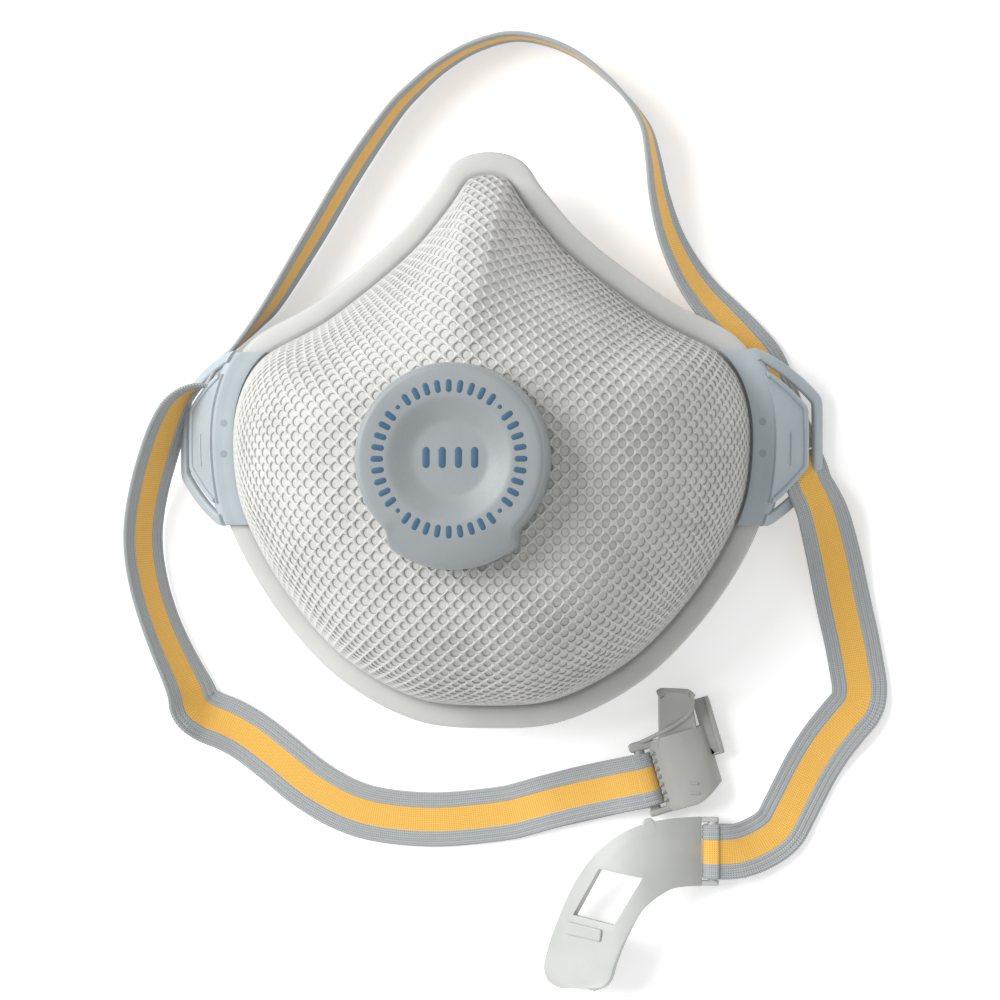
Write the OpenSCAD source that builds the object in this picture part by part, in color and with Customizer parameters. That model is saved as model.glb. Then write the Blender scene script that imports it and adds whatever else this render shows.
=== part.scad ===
// Moulded cup respirator with an exhalation valve, two side clips and one elastic strap that
// closes behind the neck with a two-part buckle. It lies face up on its soft seal, +Z up, with
// +Y towards the nose, +X towards the wearer's left cheek, and z = 0 under the seal.

/* [Rim and cup] */
// Nose to chin size of the rim
mask_length = 125; // [115:1:135]
// Cheek to cheek size of the rim
mask_width = 123; // [115:1:132]
// Height of the cup's flat front, on which the valve sits
front_height = 56.5; // [52:0.5:62]
// Underside height of the rim flange at the cheeks
cheek_height = 10.5; // [10:0.5:13]
// How much higher the flange is at the nose and chin than at the cheeks
saddle_rise = 5; // [0:0.5:7]
// Width of the visible rim flange
flange_width = 5; // [4:0.25:6]
// Thickness of the rim flange
flange_thickness = 1.6; // [1.2:0.1:2]
// Thickness of the outer support mesh
mesh_thickness = 0.7; // [0.5:0.1:1]
// Thickness of the filter layer
filter_thickness = 1.6; // [1:0.1:2]
// Thickness of the inner shell
inner_thickness = 0.8; // [0.5:0.1:1.2]
// Gap between neighbouring layers of the cup
layer_gap = 0.1; // [0.05:0.05:0.2]

/* [Valve] */
// Place of the valve axis along Y
valve_y = -4.5; // [-8:0.5:0]
// Radius of the valve cover
cover_radius = 20; // [19:0.5:22]
// Height of the valve cover above the cup
cover_height = 10; // [9.5:0.5:12]
// Wall of the valve cover
cover_wall = 1.1; // [0.9:0.1:1.4]
// Depth of the dish in the cover
dish_depth = 2; // [1:0.25:2.25]
// Radius of the dish's flat bottom
dish_inner = 8; // [6:0.5:9]
// Radius at which the dish starts to fall
dish_outer = 13; // [11:0.5:14]
// Width of the outlet spout
spout_width = 26.8; // [24:0.4:30]
// Reach of the outlet spout from the valve axis
spout_reach = 23; // [22:0.5:25]
// Radius of the valve flap
flap_radius = 12.2; // [11.5:0.1:12.4]
// Thickness of the valve flap
flap_thickness = 0.5; // [0.4:0.05:0.6]
// Radius of the bead that the flap hinges on
bead_radius = 0.7; // [0.6:0.05:0.8]
// Running clearance round the bead
bead_clearance = 0.05; // [0.03:0.01:0.08]

/* [Side clips] */
// Length of the clip's band along the rim
band_length = 38; // [34:1:42]
// Thickness of the clip's band
band_thickness = 1.4; // [1.2:0.1:1.8]
// Thickness of the clip's loop and tongue
loop_thickness = 1.2; // [1:0.1:1.6]
// How steeply the loop slopes down from the rim, in degrees
loop_slope = 52; // [46:1:54]
// Reach of the loop from the rim, along its slope
loop_reach = 12.9; // [12:0.1:13]
// Radius of a rivet
rivet_radius = 0.8; // [0.6:0.1:1]
// Distance between a clip's two rivets
rivet_spacing = 6.8; // [5:0.2:9]

/* [Strap and buckle] */
// Width of the elastic strap
strap_width = 12; // [10:0.5:13]
// Thickness of the elastic strap
strap_thickness = 1; // [0.8:0.1:1.2]
// Radius of the round bar in each half of the buckle
bar_radius = 1.2; // [1:0.1:1.3]
// Gap between a bar and the strap round it
bar_gap = 0.3; // [0.2:0.05:0.4]
// Thickness of the buckle's plates
plate_thickness = 1.6; // [1.4:0.1:2]
// Length of the window in the hook plate
window_length = 12; // [10:0.5:13]
// Width of the window in the hook plate
window_width = 9.6; // [8:0.2:10.4]

/* [Hidden] */

$fn = 48;
eps = 0.05;

// Right half of the rim from nose to chin, as shares of half the width and half the length.
RIM_HALF = [[0, 1], [0.12, 0.966], [0.204, 0.856], [0.35, 0.696], [0.625, 0.49], [0.882, 0.344],
            [0.992, 0.128], [0.99, -0.16], [0.911, -0.384], [0.751, -0.626], [0.54, -0.834],
            [0.269, -0.973], [0, -1]];
rim_steps = 3;        // points made from each stretch of the rim
port_radius = flap_radius + 0.8;    // hole through the cup
profile_steps = 9;    // rings from the flat front down to the flange
pad_radius = 17;      // flat front round the valve
seal_reach = 17.2;    // how far the seal's lip reaches in from the rim
seal_setback = 4.6;   // the seal's outer wall, in from the rim
seal_gap = 0.1;       // bond line between the seal and the flange

function spline_point(a, b, c, d, t) =
    0.5 * (2 * b + (c - a) * t + (2 * a - 5 * b + 4 * c - d) * t * t
           + (3 * b - a - 3 * c + d) * t * t * t);
function closed_spline(pts, steps) =
    let (n = len(pts))
    [for (i = [0 : n - 1]) for (s = [0 : steps - 1])
        spline_point(pts[(i + n - 1) % n], pts[i], pts[(i + 1) % n], pts[(i + 2) % n], s / steps)];
function open_spline(pts, steps) =
    let (n = len(pts))
    [for (i = [0 : n - 2]) for (s = [0 : steps - (i == n - 2 ? 0 : 1)])
        spline_point(pts[max(i - 1, 0)], pts[i], pts[i + 1], pts[min(i + 2, n - 1)], s / steps)];
function unit(v) = v / norm(v);

half = [for (p = RIM_HALF) [p.x * mask_width / 2, p.y * mask_length / 2]];
half_last = len(half) - 1;
rim = closed_spline(concat(half, [for (i = [half_last - 1 : -1 : 1]) [-half[i].x, half[i].y]]),
                    rim_steps);
rim_count = len(rim);
valve_axis = [0, valve_y];

// A point e inside the rim: square to it across the flange, then straight towards the valve axis.
function inward(i) =
    let (t = unit(rim[(i + 1) % rim_count] - rim[(i + rim_count - 1) % rim_count])) [t.y, -t.x];
function rim_point(i, e) =
    let (near = rim[i] + inward(i) * min(e, flange_width + 1),
         far = max(e - flange_width - 1, 0))
    near + unit(valve_axis - near) * far;
function outline(e) = [for (i = [0 : rim_count - 1]) rim_point(i, e)];

function sine_of(i) = unit(rim[i] - valve_axis).y;
function saddle(i) = pow(max(0, (pow(sine_of(i), 2) - 0.14) / 0.86), 1.2);
function flange_z(i) = cheek_height + saddle_rise * saddle(i);
function nose_share(i) = pow(max(0, sine_of(i)), 1.5);
function chin_share(i) = pow(max(0, -sine_of(i)), 1.5);

// Height of the cup, from 1 on the flat front (r = 0) to 0 at the flange (r = 1): full at the
// cheeks and chin, and more like a cone below the nose.
function cup_fall(i, r) =
    let (p = 2.2 - 0.65 * nose_share(i) + 0.6 * chin_share(i),
         k = 0.55 + 0.3 * nose_share(i) - 0.05 * chin_share(i))
    pow(max(0, 1 - pow(r, p)), k);

// One ring of a cup surface that lies depth inside the outermost one.
function cup_ring(r, depth) =
    [for (i = [0 : rim_count - 1])
        let (edge = rim_point(i, flange_width + depth),
             away = edge - valve_axis,
             at = valve_axis + unit(away) * (pad_radius + (norm(away) - pad_radius) * r),
             base = flange_z(i) + flange_thickness,
             top = front_height - depth)
        [at.x, at.y, base + (top - base) * cup_fall(i, r)]];
function port_ring(depth) =
    [for (i = [0 : rim_count - 1])
        let (at = valve_axis + unit(rim[i] - valve_axis) * port_radius)
        [at.x, at.y, front_height - depth]];

// A closed solid through rings of equal length, joined in order and back to the first.
module ring_solid(rings) {
    n = len(rings[0]);
    k = len(rings);
    polyhedron(
        points = [for (ring = rings) for (p = ring) p],
        faces = [for (a = [0 : k - 1]) for (i = [0 : n - 1])
            let (b = (a + 1) % k, j = (i + 1) % n)
            each [[a * n + i, b * n + i, b * n + j], [a * n + i, b * n + j, a * n + j]]]);
}

// A layer of the cup between two depths.
module cup_layer(outer, inner) {
    steps = [for (s = [0 : profile_steps]) sin(90 * s / profile_steps)];
    down = [for (r = steps) cup_ring(r, outer)];
    up = [for (s = [profile_steps : -1 : 0]) cup_ring(steps[s], inner)];
    ring_solid(concat([port_ring(outer)], down, up, [port_ring(inner)]));
}

mesh_depth = mesh_thickness;
filter_start = mesh_depth + layer_gap;
filter_end = filter_start + filter_thickness;
inner_start = filter_end + layer_gap;
inner_end = inner_start + inner_thickness;

module outer_mesh() {
    color([0.9, 0.9, 0.88]) cup_layer(0, mesh_depth);
}

module filter_cup() {
    color([0.86, 0.86, 0.84]) cup_layer(filter_start, filter_end);
}

module inner_shell() {
    color([0.94, 0.94, 0.92]) cup_layer(inner_start, inner_end);
}

// A ring swept round the rim from a section of [distance in from the rim, share of the flange's
// height, height added].
module rim_sweep(section) {
    ring_solid([for (s = section)
        [for (i = [0 : rim_count - 1])
            let (p = rim_point(i, s[0])) [p.x, p.y, s[1] * flange_z(i) + s[2]]]]);
}

module flange_ring() {
    edge = flange_thickness / 4;
    back = flange_width + inner_end + 1.2;
    color([0.88, 0.88, 0.86])
        rim_sweep([[0, 1, edge], [0, 1, flange_thickness - edge], [edge, 1, flange_thickness],
                   [back, 1, flange_thickness], [back, 1, 0], [edge, 1, 0]]);
}

module face_seal() {
    color([0.85, 0.86, 0.86])
        rim_sweep([[seal_setback, 1, -seal_gap], [4.9, 0.62, 0], [6.2, 0.25, 0], [8.5, 0, 0],
                   [seal_reach - 1.2, 0, 0], [seal_reach, 0, 0.7], [seal_reach - 1.2, 0, 1.5],
                   [9.8, 0, 1.7], [8.2, 0.32, 0.5], [7.2, 0.65, 0], [7, 1, -seal_gap]]);
}

// ---- Valve: everything round the valve axis, with z = 0 on the cup's flat front ----

seat_thickness = 1.2;
spigot_radius = port_radius - 0.6;
lip_radius = flap_radius - 1;
lip_height = 2;
bead_y = flap_radius + 1.8;
bead_z = lip_height + eps + flap_thickness / 2;
bead_length = 13;
cover_inner = cover_radius - cover_wall;

module at_valve() {
    translate([0, valve_y, front_height]) children();
}

// Outline of the outlet spout, grown by g: straight sides and an arc at the end.
module spout_outline(g) {
    intersection() {
        translate([-spout_width / 2 - g, -spout_reach - 2]) square([spout_width + 2 * g, spout_reach]);
        translate([0, -spout_reach + 21]) circle(r = 21 + g, $fn = 96);
    }
}

module valve_cover() {
    rim_fillet = 1.4;
    spout_top = cover_height - 2.2;
    port_height = 3.4;
    color([0.62, 0.645, 0.65]) at_valve() difference() {
        union() {
            rotate_extrude($fn = 96) polygon([[0, eps], [cover_radius, eps],
                [cover_radius, cover_height - rim_fillet],
                [cover_radius - rim_fillet * 0.3, cover_height - rim_fillet * 0.3],
                [cover_radius - rim_fillet, cover_height], [dish_outer, cover_height],
                [dish_inner, cover_height - dish_depth], [0, cover_height - dish_depth]]);
            translate([0, 0, eps]) linear_extrude(spout_top - eps) spout_outline(0);
        }
        difference() {
            union() {
                rotate_extrude($fn = 96) polygon([[0, -1], [cover_inner, -1],
                    [cover_inner, cover_height - cover_wall - rim_fillet * 0.7],
                    [cover_inner - rim_fillet * 0.7, cover_height - cover_wall],
                    [dish_outer, cover_height - cover_wall],
                    [dish_inner, cover_height - cover_wall - dish_depth],
                    [0, cover_height - cover_wall - dish_depth]]);
                translate([0, 0, -1]) linear_extrude(spout_top - cover_wall + 1)
                    spout_outline(-cover_wall);
            }
            // Rib that keeps the flap's bead in its groove.
            translate([-bead_length / 2, bead_y - 0.8, bead_z + bead_radius + 0.1])
                cube([bead_length, 1.6, cover_height]);
        }
        // Outlet below the spout.
        translate([-spout_width / 2 + 2.6, -spout_reach - 3, 1])
            cube([spout_width - 5.2, 6, port_height]);
    }
}

module valve_seat() {
    block = 1.3;
    bore = lip_radius - 0.2;
    color([0.8, 0.82, 0.83]) at_valve() difference() {
        union() {
            cylinder(r = pad_radius + 0.5, h = seat_thickness);
            cylinder(r = lip_radius + 0.8, h = lip_height);
            translate([0, 0, -inner_end - 2]) cylinder(r = spigot_radius, h = inner_end + 2 + eps);
            translate([-bead_length / 2 - 1, bead_y - block, 0])
                cube([bead_length + 2, 2 * block, bead_z]);
        }
        difference() {
            translate([0, 0, -inner_end - 3]) cylinder(r = bore, h = inner_end + 10);
            for (turn = [0, 90])
                rotate(turn) translate([-bore - 1, -0.7, -0.2]) cube([2 * bore + 2, 1.4, 1.2]);
        }
        translate([-bead_length / 2 - 0.1, bead_y, bead_z]) rotate([0, 90, 0])
            cylinder(r = bead_radius + bead_clearance, h = bead_length + 0.2);
        // Room for the flap's neck as it lifts.
        translate([-bead_length / 2 - 0.1, bead_y - block - 1, lip_height])
            cube([bead_length + 0.2, block + 1, 2]);
    }
}

module valve_flap() {
    neck = 11;
    color([0.93, 0.93, 0.9]) at_valve() union() {
        translate([0, 0, lip_height + eps]) cylinder(r = flap_radius, h = flap_thickness);
        translate([-neck / 2, 0, lip_height + eps]) cube([neck, bead_y, flap_thickness]);
        translate([-bead_length / 2, bead_y, bead_z]) rotate([0, 90, 0])
            cylinder(r = bead_radius, h = bead_length);
    }
}

module valve_clamp_ring() {
    color([0.8, 0.82, 0.83]) at_valve() translate([0, 0, -inner_end - eps - 1.4]) difference() {
        cylinder(r = pad_radius, h = 1.4);
        translate([0, 0, -1]) cylinder(r = spigot_radius + eps, h = 4);
    }
}

// ---- Side clips: made for the right cheek and mirrored for the left ----

clip_y = 0.5;
edge_x = mask_width / 2;
flange_top = cheek_height + flange_thickness;
wrap_gap = 0.25;
wrap_reach = 1.6;
band_top = flange_top + eps + band_thickness;
loop_root = [edge_x + wrap_reach, clip_y, band_top - loop_thickness / 2];

// The stretch of the rim that a clip covers, between two distances in from the rim.
module rim_band(outer, inner) {
    intersection() {
        difference() {
            polygon(outline(outer));
            polygon(outline(inner));
        }
        translate([0, clip_y - band_length / 2]) square([mask_width, band_length]);
    }
}

// The clip's sloping frame: first axis out along the slope, second along the rim.
module at_loop() {
    translate(loop_root) rotate([0, loop_slope, 0]) children();
}

module mirrored(points) {
    polygon(concat(points, [for (i = [len(points) - 1 : -1 : 0]) [points[i].x, -points[i].y]]));
}

slot_reach = loop_reach - 2.6;
tongue_reach = slot_reach - 1.9;
loop_flat = strap_width / 2 + 2.6;
loop_foot = band_length / 2 - 0.5;

module clip() {
    difference() {
        union() {
            translate([0, 0, flange_top + eps]) linear_extrude(band_thickness)
                rim_band(-wrap_reach, flange_width - 0.25);
            translate([0, 0, cheek_height - 1.5]) linear_extrude(band_top - cheek_height + 1.5)
                rim_band(-wrap_reach, -wrap_gap);
            at_loop() {
                translate([0, 0, -loop_thickness / 2]) linear_extrude(loop_thickness)
                    difference() {
                        mirrored([[-1.2, loop_foot], [0.3, loop_foot],
                                  [loop_reach, loop_flat], [loop_reach, 0]]);
                        mirrored([[1, loop_foot - 2.6], [slot_reach, strap_width / 2 + 1.6],
                                  [slot_reach, 0]]);
                    }
                translate([-0.6, 0, -loop_thickness / 2]) linear_extrude(loop_thickness)
                    tongue_outline(0);
                translate([-0.6, 0, 0]) linear_extrude(loop_thickness / 2 + 0.5) difference() {
                    tongue_outline(0);
                    translate([-1, 0]) tongue_outline(-1);
                }
            }
        }
        rivet_places() cylinder(r = rivet_radius + eps, h = 20);
    }
}

module tongue_outline(g) {
    mirrored([[0.6, strap_width / 2 + 8.2 + g], [tongue_reach + 0.6 + g, strap_width / 2 + 0.6 + g],
              [tongue_reach + 0.6 + g, 0]]);
}

module rivet_places() {
    for (side = [-1, 1])
        translate([edge_x - flange_width * 0.42, clip_y + side * rivet_spacing / 2, cheek_height - 1.5])
            children();
}

module clip_backing() {
    translate([0, 0, cheek_height - 1.5 + eps]) difference() {
        linear_extrude(1.5 - 2 * eps) rim_band(-wrap_gap + eps, seal_setback - 0.4);
        translate([0, 0, 1.5 - cheek_height]) rivet_places() cylinder(r = rivet_radius + eps, h = 20);
    }
}

module clip_rivets() {
    rivet_places() cylinder(r = rivet_radius, h = band_top - cheek_height + 1.5);
}

module right_clip() {
    color([0.69, 0.735, 0.77]) clip();
}

module left_clip() {
    color([0.69, 0.735, 0.77]) mirror([1, 0, 0]) clip();
}

module right_clip_backing() {
    color([0.69, 0.735, 0.77]) clip_backing();
}

module left_clip_backing() {
    color([0.69, 0.735, 0.77]) mirror([1, 0, 0]) clip_backing();
}

module right_clip_rivets() {
    color([0.6, 0.65, 0.69]) clip_rivets();
}

module left_clip_rivets() {
    color([0.6, 0.65, 0.69]) mirror([1, 0, 0]) clip_rivets();
}

// ---- Strap: flat ribbons along hand-chosen routes of [x, y, z, roll in degrees] ----

CROWN_ROUTE = [[-65.5, 12.5, 6.2, -108], [-62.5, 17, 6, -104], [-58.3, 21, 6, -98],
    [-53.6, 26, 6, -90], [-49.6, 31, 6, -84], [-40.5, 45.5, 6, -80], [-32, 59.5, 6, -80],
    [-23.2, 72, 6, -83], [-18.2, 77.3, 6, -85], [-12.4, 82.2, 6, -87], [-5.2, 86.3, 6, -88],
    [3, 88.5, 6, -88], [10.5, 87.5, 6, -87], [17.5, 84.5, 6, -86], [23.5, 80, 6, -86],
    [29, 74.5, 6, -88], [33, 68.5, 6, -92], [34.7, 61.5, 6, -97], [36, 53.5, 5.9, -103],
    [38.3, 45, 5.7, -110], [41.8, 37.5, 5.5, -118], [45.6, 31.8, 5.2, -125],
    [49.9, 27, 4.9, -132], [54.2, 22.2, 4.5, -138], [57.9, 17.5, 4.3, -142],
    [60.4, 12, 4.3, -142], [62.4, 6.5, 4.4, -141], [64.5, 1.3, 4.5, -140],
    [66.3, -2.5, 4.8, -136]];

LEFT_ROUTE = [[-65.5, 12.5, 6.2, 108], [-68.3, 10.8, 7.6, 86], [-71.2, 7.6, 8.4, 70],
    [-73.6, 2.5, 8.2, 61], [-75.8, -3.5, 7.2, 58], [-77.6, -9, 6.3, 58], [-79, -15, 5.6, 58],
    [-79.6, -20.5, 5.4, 58], [-79.3, -26, 5.4, 58], [-78.3, -31.5, 5.4, 58],
    [-76.9, -36.5, 5.4, 58], [-75.1, -41.5, 5.4, 57], [-73, -46.5, 5.2, 54],
    [-70.9, -51, 4.9, 50], [-69.2, -55, 4.3, 42], [-68, -59, 3, 26], [-65.2, -61.2, 1.6, 10],
    [-61, -62.9, 1, 3], [-56, -65.8, 0.6, 0], [-50, -70.3, 0.6, 0], [-43, -75.8, 0.6, 0],
    [-35, -80.3, 0.6, 0], [-26.5, -82.7, 0.6, 0], [-14, -83.5, 0.6, 0], [0, -82.1, 0.6, 0],
    [6, -80.7, 1.1, 0], [10.5, -79.4, 1.7, 0], [17, -77.7, 1.8, 0], [23.5, -76.2, 2.4, 0],
    [29, -75, 4.2, 0], [33, -74.2, 5, 0]];

RIGHT_ROUTE = [[66.3, -2.5, 4.8, 44], [67.7, -6, 5.7, 42], [68.9, -9.5, 6.9, 38],
    [70.9, -13.5, 7.8, 34], [72.2, -17.5, 6.8, 26], [73.3, -22.5, 4.8, 20],
    [74.3, -27.5, 3.2, 14], [75.2, -32.5, 2, 9], [76.3, -38, 1.1, 3], [77.5, -43.5, 0.6, 0],
    [78.5, -49, 0.6, 0], [79.2, -53.8, 0.7, 0], [78.6, -57.6, 1.1, -4], [75.6, -61.4, 1.4, -6],
    [72, -66, 1, -3], [68.8, -71, 0.6, 0], [66.2, -76, 0.6, 0], [63.8, -80.8, 0.7, 0],
    [61.4, -85, 1.2, 0], [57, -88, 2, 0], [52.5, -89.5, 3.6, 0], [47.5, -89.6, 5, 0]];

catch_bar = [33, -74.2, 3];
catch_turn = 16.7;
hook_bar = [47.5, -89.6, 3];
loop_inner = bar_radius + bar_gap;
left_tail = 25;      // how much of the strap is doubled back at the catch
right_tail = 9;      // and at the hook

// Section of the strap, with eased corners, as [across, through] pairs.
function ribbon_section(w, t) =
    let (a = w / 2, b = t / 2, ease = t / 4)
    [[-a, -b + ease], [-a + ease, -b], [a - ease, -b], [a, -b + ease],
     [a, b - ease], [a - ease, b], [-a + ease, b], [-a, b - ease]];

function place(p) = [p[0], p[1], p[2]];
function heading(route, i) =
    unit(place(route[min(i + 1, len(route) - 1)]) - place(route[max(i - 1, 0)]));

// Every ring of a flat ribbon.
function ribbon_rings(route, width, thickness) =
    [for (i = [0 : len(route) - 1])
        let (t = heading(route, i), side = unit(cross(t, [0, 0, 1])), up = cross(side, t),
             roll = route[i][3],
             across = side * cos(roll) + up * sin(roll),
             through = up * cos(roll) - side * sin(roll))
        [for (s = ribbon_section(width, thickness)) place(route[i]) + across * s[0] + through * s[1]]];

module ribbon(route, width, thickness) {
    rings = ribbon_rings(route, width, thickness);
    n = len(rings[0]);
    k = len(rings);
    polyhedron(
        points = [for (ring = rings) for (p = ring) p],
        faces = concat(
            [[for (i = [0 : n - 1]) i]],
            [[for (i = [n - 1 : -1 : 0]) (k - 1) * n + i]],
            [for (a = [0 : k - 2]) for (i = [0 : n - 1])
                let (j = (i + 1) % n)
                each [[a * n + i, (a + 1) * n + i, (a + 1) * n + j],
                      [a * n + i, (a + 1) * n + j, a * n + j]]]));
}

grey_strap = [0.6, 0.63, 0.64];

module crown_strap() {
    color(grey_strap) ribbon(CROWN_ROUTE, strap_width, strap_thickness);
}

module left_neck_strap() {
    color(grey_strap) ribbon(LEFT_ROUTE, strap_width, strap_thickness);
}

module right_neck_strap() {
    color(grey_strap) ribbon(RIGHT_ROUTE, strap_width, strap_thickness);
}

// The strap's end, turned round a bar and laid back under itself: first axis along the strap
// towards the bar, z = 0 on the bar's axis.
module strap_tail(length) {
    rotate([90, 0, 0]) translate([0, 0, -strap_width / 2]) linear_extrude(strap_width) {
        difference() {
            circle(r = loop_inner + strap_thickness);
            circle(r = loop_inner);
            translate([-10, -10]) square([10, 20]);
        }
        translate([-3, -loop_inner - strap_thickness]) square([3, strap_thickness]);
        translate([-length, -loop_inner - strap_thickness]) square([length - 2, strap_thickness]);
    }
}

module left_strap_tail() {
    color(grey_strap) translate(catch_bar) rotate(catch_turn) strap_tail(left_tail);
}

module right_strap_tail() {
    color(grey_strap) translate(hook_bar) rotate(180) strap_tail(right_tail);
}

// A curved plate of even thickness, drawn through points in one plane.
module curved_strip(points, thickness) {
    path = open_spline(points, 4);
    last = len(path) - 1;
    normals = [for (i = [0 : last])
        let (t = unit(path[min(i + 1, last)] - path[max(i - 1, 0)])) [-t.y, t.x]];
    polygon(concat([for (i = [0 : last]) path[i] + normals[i] * thickness / 2],
                   [for (i = [last : -1 : 0]) path[i] - normals[i] * thickness / 2]));
}

slot_start = loop_inner + strap_thickness + bar_gap;

module bar(length) {
    rotate([90, 0, 0]) translate([0, 0, -length / 2]) cylinder(r = bar_radius, h = length);
}

// Catch half: bar, gently arched front plate, a raised flap along the far side and a T-shaped
// tab at the end. First axis away from the strap, second across it.
module catch_buckle() {
    arm = 1.6;
    half_span = strap_width / 2 + 0.5 + arm;
    plate_end = slot_start + 12.2;
    tooth_pitch = strap_width / 5.2;
    color([0.66, 0.66, 0.635]) translate(catch_bar) rotate(catch_turn) {
        bar(2 * half_span);
        for (side = [-1, 1])
            translate([-bar_radius, side > 0 ? half_span - arm : -half_span, -bar_radius])
                cube([slot_start + bar_radius + 1, arm, 2 * bar_radius]);
        rotate([90, 0, 0]) translate([0, 0, -half_span]) linear_extrude(2 * half_span)
            curved_strip([[slot_start, 0.4], [slot_start + 3.5, 1.9], [slot_start + 8, 2.3],
                          [slot_start + 11, 1.2], [plate_end, -1.6]], plate_thickness);
        // Teeth along the strap's edge of the plate.
        for (i = [-2 : 2])
            translate([slot_start - 0.2, i * tooth_pitch - 0.5, 0]) cube([1, 1, 1.7]);
        // Raised flap, curling up away from the plate.
        translate([slot_start + 1.6, 0, 0]) rotate([90, 0, 90]) linear_extrude(9.4)
            curved_strip([[half_span - 2, 1.4], [half_span + 1.2, 2], [half_span + 4.5, 3.4],
                          [half_span + 7.5, 5.4], [half_span + 9.8, 8.2]], plate_thickness);
        // T-shaped tab with a lip along its outer edge.
        translate([plate_end - 1.6, 1, -1.4]) cube([3.8, 7.5, plate_thickness]);
        translate([plate_end - 0.6, 1, -1.4]) cube([3.6, 13, plate_thickness]);
        translate([plate_end + 2.2, 1, -1.4]) cube([0.8, 13, plate_thickness + 0.7]);
    }
}

// Hook half: an arched plate that curves away from the bar, with a window for the catch's tab.
// HOOK_ARCH is its height along X; HOOK_OUTLINE is its outline from above, from the bar's far
// side round the free end to the bar's near side.
HOOK_ARCH = [[45.5, 3], [41, 6.2], [36.5, 8.4], [31.5, 9.3], [26.5, 8.7], [21.5, 6.9],
    [16.5, 4.3], [11.5, 1.9], [8, 0.9]];
hook_width = strap_width + 3;
hook_far = hook_bar.y + hook_width / 2;
hook_near = hook_bar.y - hook_width / 2;
HOOK_OUTLINE = [[44.6, hook_far], [40, hook_far - 0.1], [34.5, hook_far - 0.9],
    [28.5, -85.4], [22.5, -90.2], [17.2, -97.5], [13, -106.5], [10.2, -114.6], [10.6, -118], [13.5, -119.4], [20, -119.9],
    [24.4, -119.2], [26.2, -116], [29.2, -108.5], [33, -102], [37.8, hook_near - 0.9],
    [41.5, hook_near], [44.6, hook_near]];
window_centre = [25.1, -99.4];
window_across = -10.4;
window_along = -120.4;
tab_centre = [19.8, -107.2, 6.7];
tab_slope = 27;

module hook_buckle() {
    arm = 1.2;
    u = [cos(window_across), sin(window_across)] * window_width / 2;
    v = [cos(window_along), sin(window_along)] * window_length / 2;
    color([0.78, 0.79, 0.78]) {
        intersection() {
            translate([0, -70, 0]) rotate([90, 0, 0]) linear_extrude(60)
                curved_strip(HOOK_ARCH, plate_thickness);
            linear_extrude(20) difference() {
                polygon(open_spline(HOOK_OUTLINE, 4));
                translate(window_centre) polygon([u + v, u - v, -u - v, v - u]);
            }
        }
        translate(hook_bar) {
            bar(hook_width);
            for (side = [-1, 1])
                translate([-slot_start - 1, side * (hook_width - arm) / 2 - arm / 2, -bar_radius])
                    cube([slot_start + 1 + bar_radius, arm, 2 * bar_radius]);
        }
        translate(tab_centre) rotate([0, -tab_slope, 0]) rotate(-8)
            cube([9, 2.8, 1.3], center = true);
    }
}

outer_mesh();
filter_cup();
inner_shell();
flange_ring();
face_seal();
valve_cover();
valve_seat();
valve_flap();
valve_clamp_ring();
left_clip();
left_clip_backing();
left_clip_rivets();
right_clip();
right_clip_backing();
right_clip_rivets();
crown_strap();
left_neck_strap();
left_strap_tail();
right_neck_strap();
right_strap_tail();
catch_buckle();
hook_buckle();
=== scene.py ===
"""Looks for the cup respirator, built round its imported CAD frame.

Lengths are written in millimetres and turned into metres by MM. The frame is the CAD's: +Z out of
the cup's front, +Y to the nose, and z = 0 on the plane that the face seal rests on.
"""
import contextlib
import math

import bmesh
import bpy
import numpy as np
from mathutils import Matrix, Vector


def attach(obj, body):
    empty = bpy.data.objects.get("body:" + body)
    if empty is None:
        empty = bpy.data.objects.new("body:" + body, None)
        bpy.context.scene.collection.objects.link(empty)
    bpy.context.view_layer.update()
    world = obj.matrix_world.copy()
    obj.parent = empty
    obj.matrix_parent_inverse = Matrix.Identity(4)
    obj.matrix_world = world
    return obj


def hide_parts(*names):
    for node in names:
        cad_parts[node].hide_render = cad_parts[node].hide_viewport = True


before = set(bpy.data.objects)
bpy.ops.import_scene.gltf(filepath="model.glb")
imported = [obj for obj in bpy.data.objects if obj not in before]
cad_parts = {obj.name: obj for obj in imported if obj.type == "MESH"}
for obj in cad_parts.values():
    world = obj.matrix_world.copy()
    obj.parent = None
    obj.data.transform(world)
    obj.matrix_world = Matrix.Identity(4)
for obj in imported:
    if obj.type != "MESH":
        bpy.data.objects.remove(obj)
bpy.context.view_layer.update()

MM = 0.001
scene = bpy.context.scene
scene.view_settings.view_transform = "Standard"

# ---- helpers


def link(obj):
    scene.collection.objects.link(obj)
    return obj


def mesh_piece(name, verts, faces, smooth=True, material_index=None):
    """A mesh object from points in millimetres."""
    mesh = bpy.data.meshes.new(name)
    mesh.from_pydata([tuple(np.asarray(v) * MM) for v in verts], [], [tuple(f) for f in faces])
    mesh.polygons.foreach_set("use_smooth", [smooth] * len(mesh.polygons))
    if material_index is not None:
        mesh.polygons.foreach_set("material_index", material_index)
    mesh.update()
    return link(bpy.data.objects.new(name, mesh))


@contextlib.contextmanager
def editing(obj):
    """A piece's mesh, opened as a bmesh and written back at the end."""
    bm = bmesh.new()
    bm.from_mesh(obj.data)
    yield bm
    bm.to_mesh(obj.data)
    bm.free()


def fix_normals(obj):
    with editing(obj) as bm:
        bmesh.ops.recalc_face_normals(bm, faces=bm.faces)
    return obj


def apply_modifiers(obj):
    graph = bpy.context.evaluated_depsgraph_get()
    mesh = bpy.data.meshes.new_from_object(obj.evaluated_get(graph), depsgraph=graph)
    obj.modifiers.clear()
    old = obj.data
    obj.data = mesh
    bpy.data.meshes.remove(old)
    return obj


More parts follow.
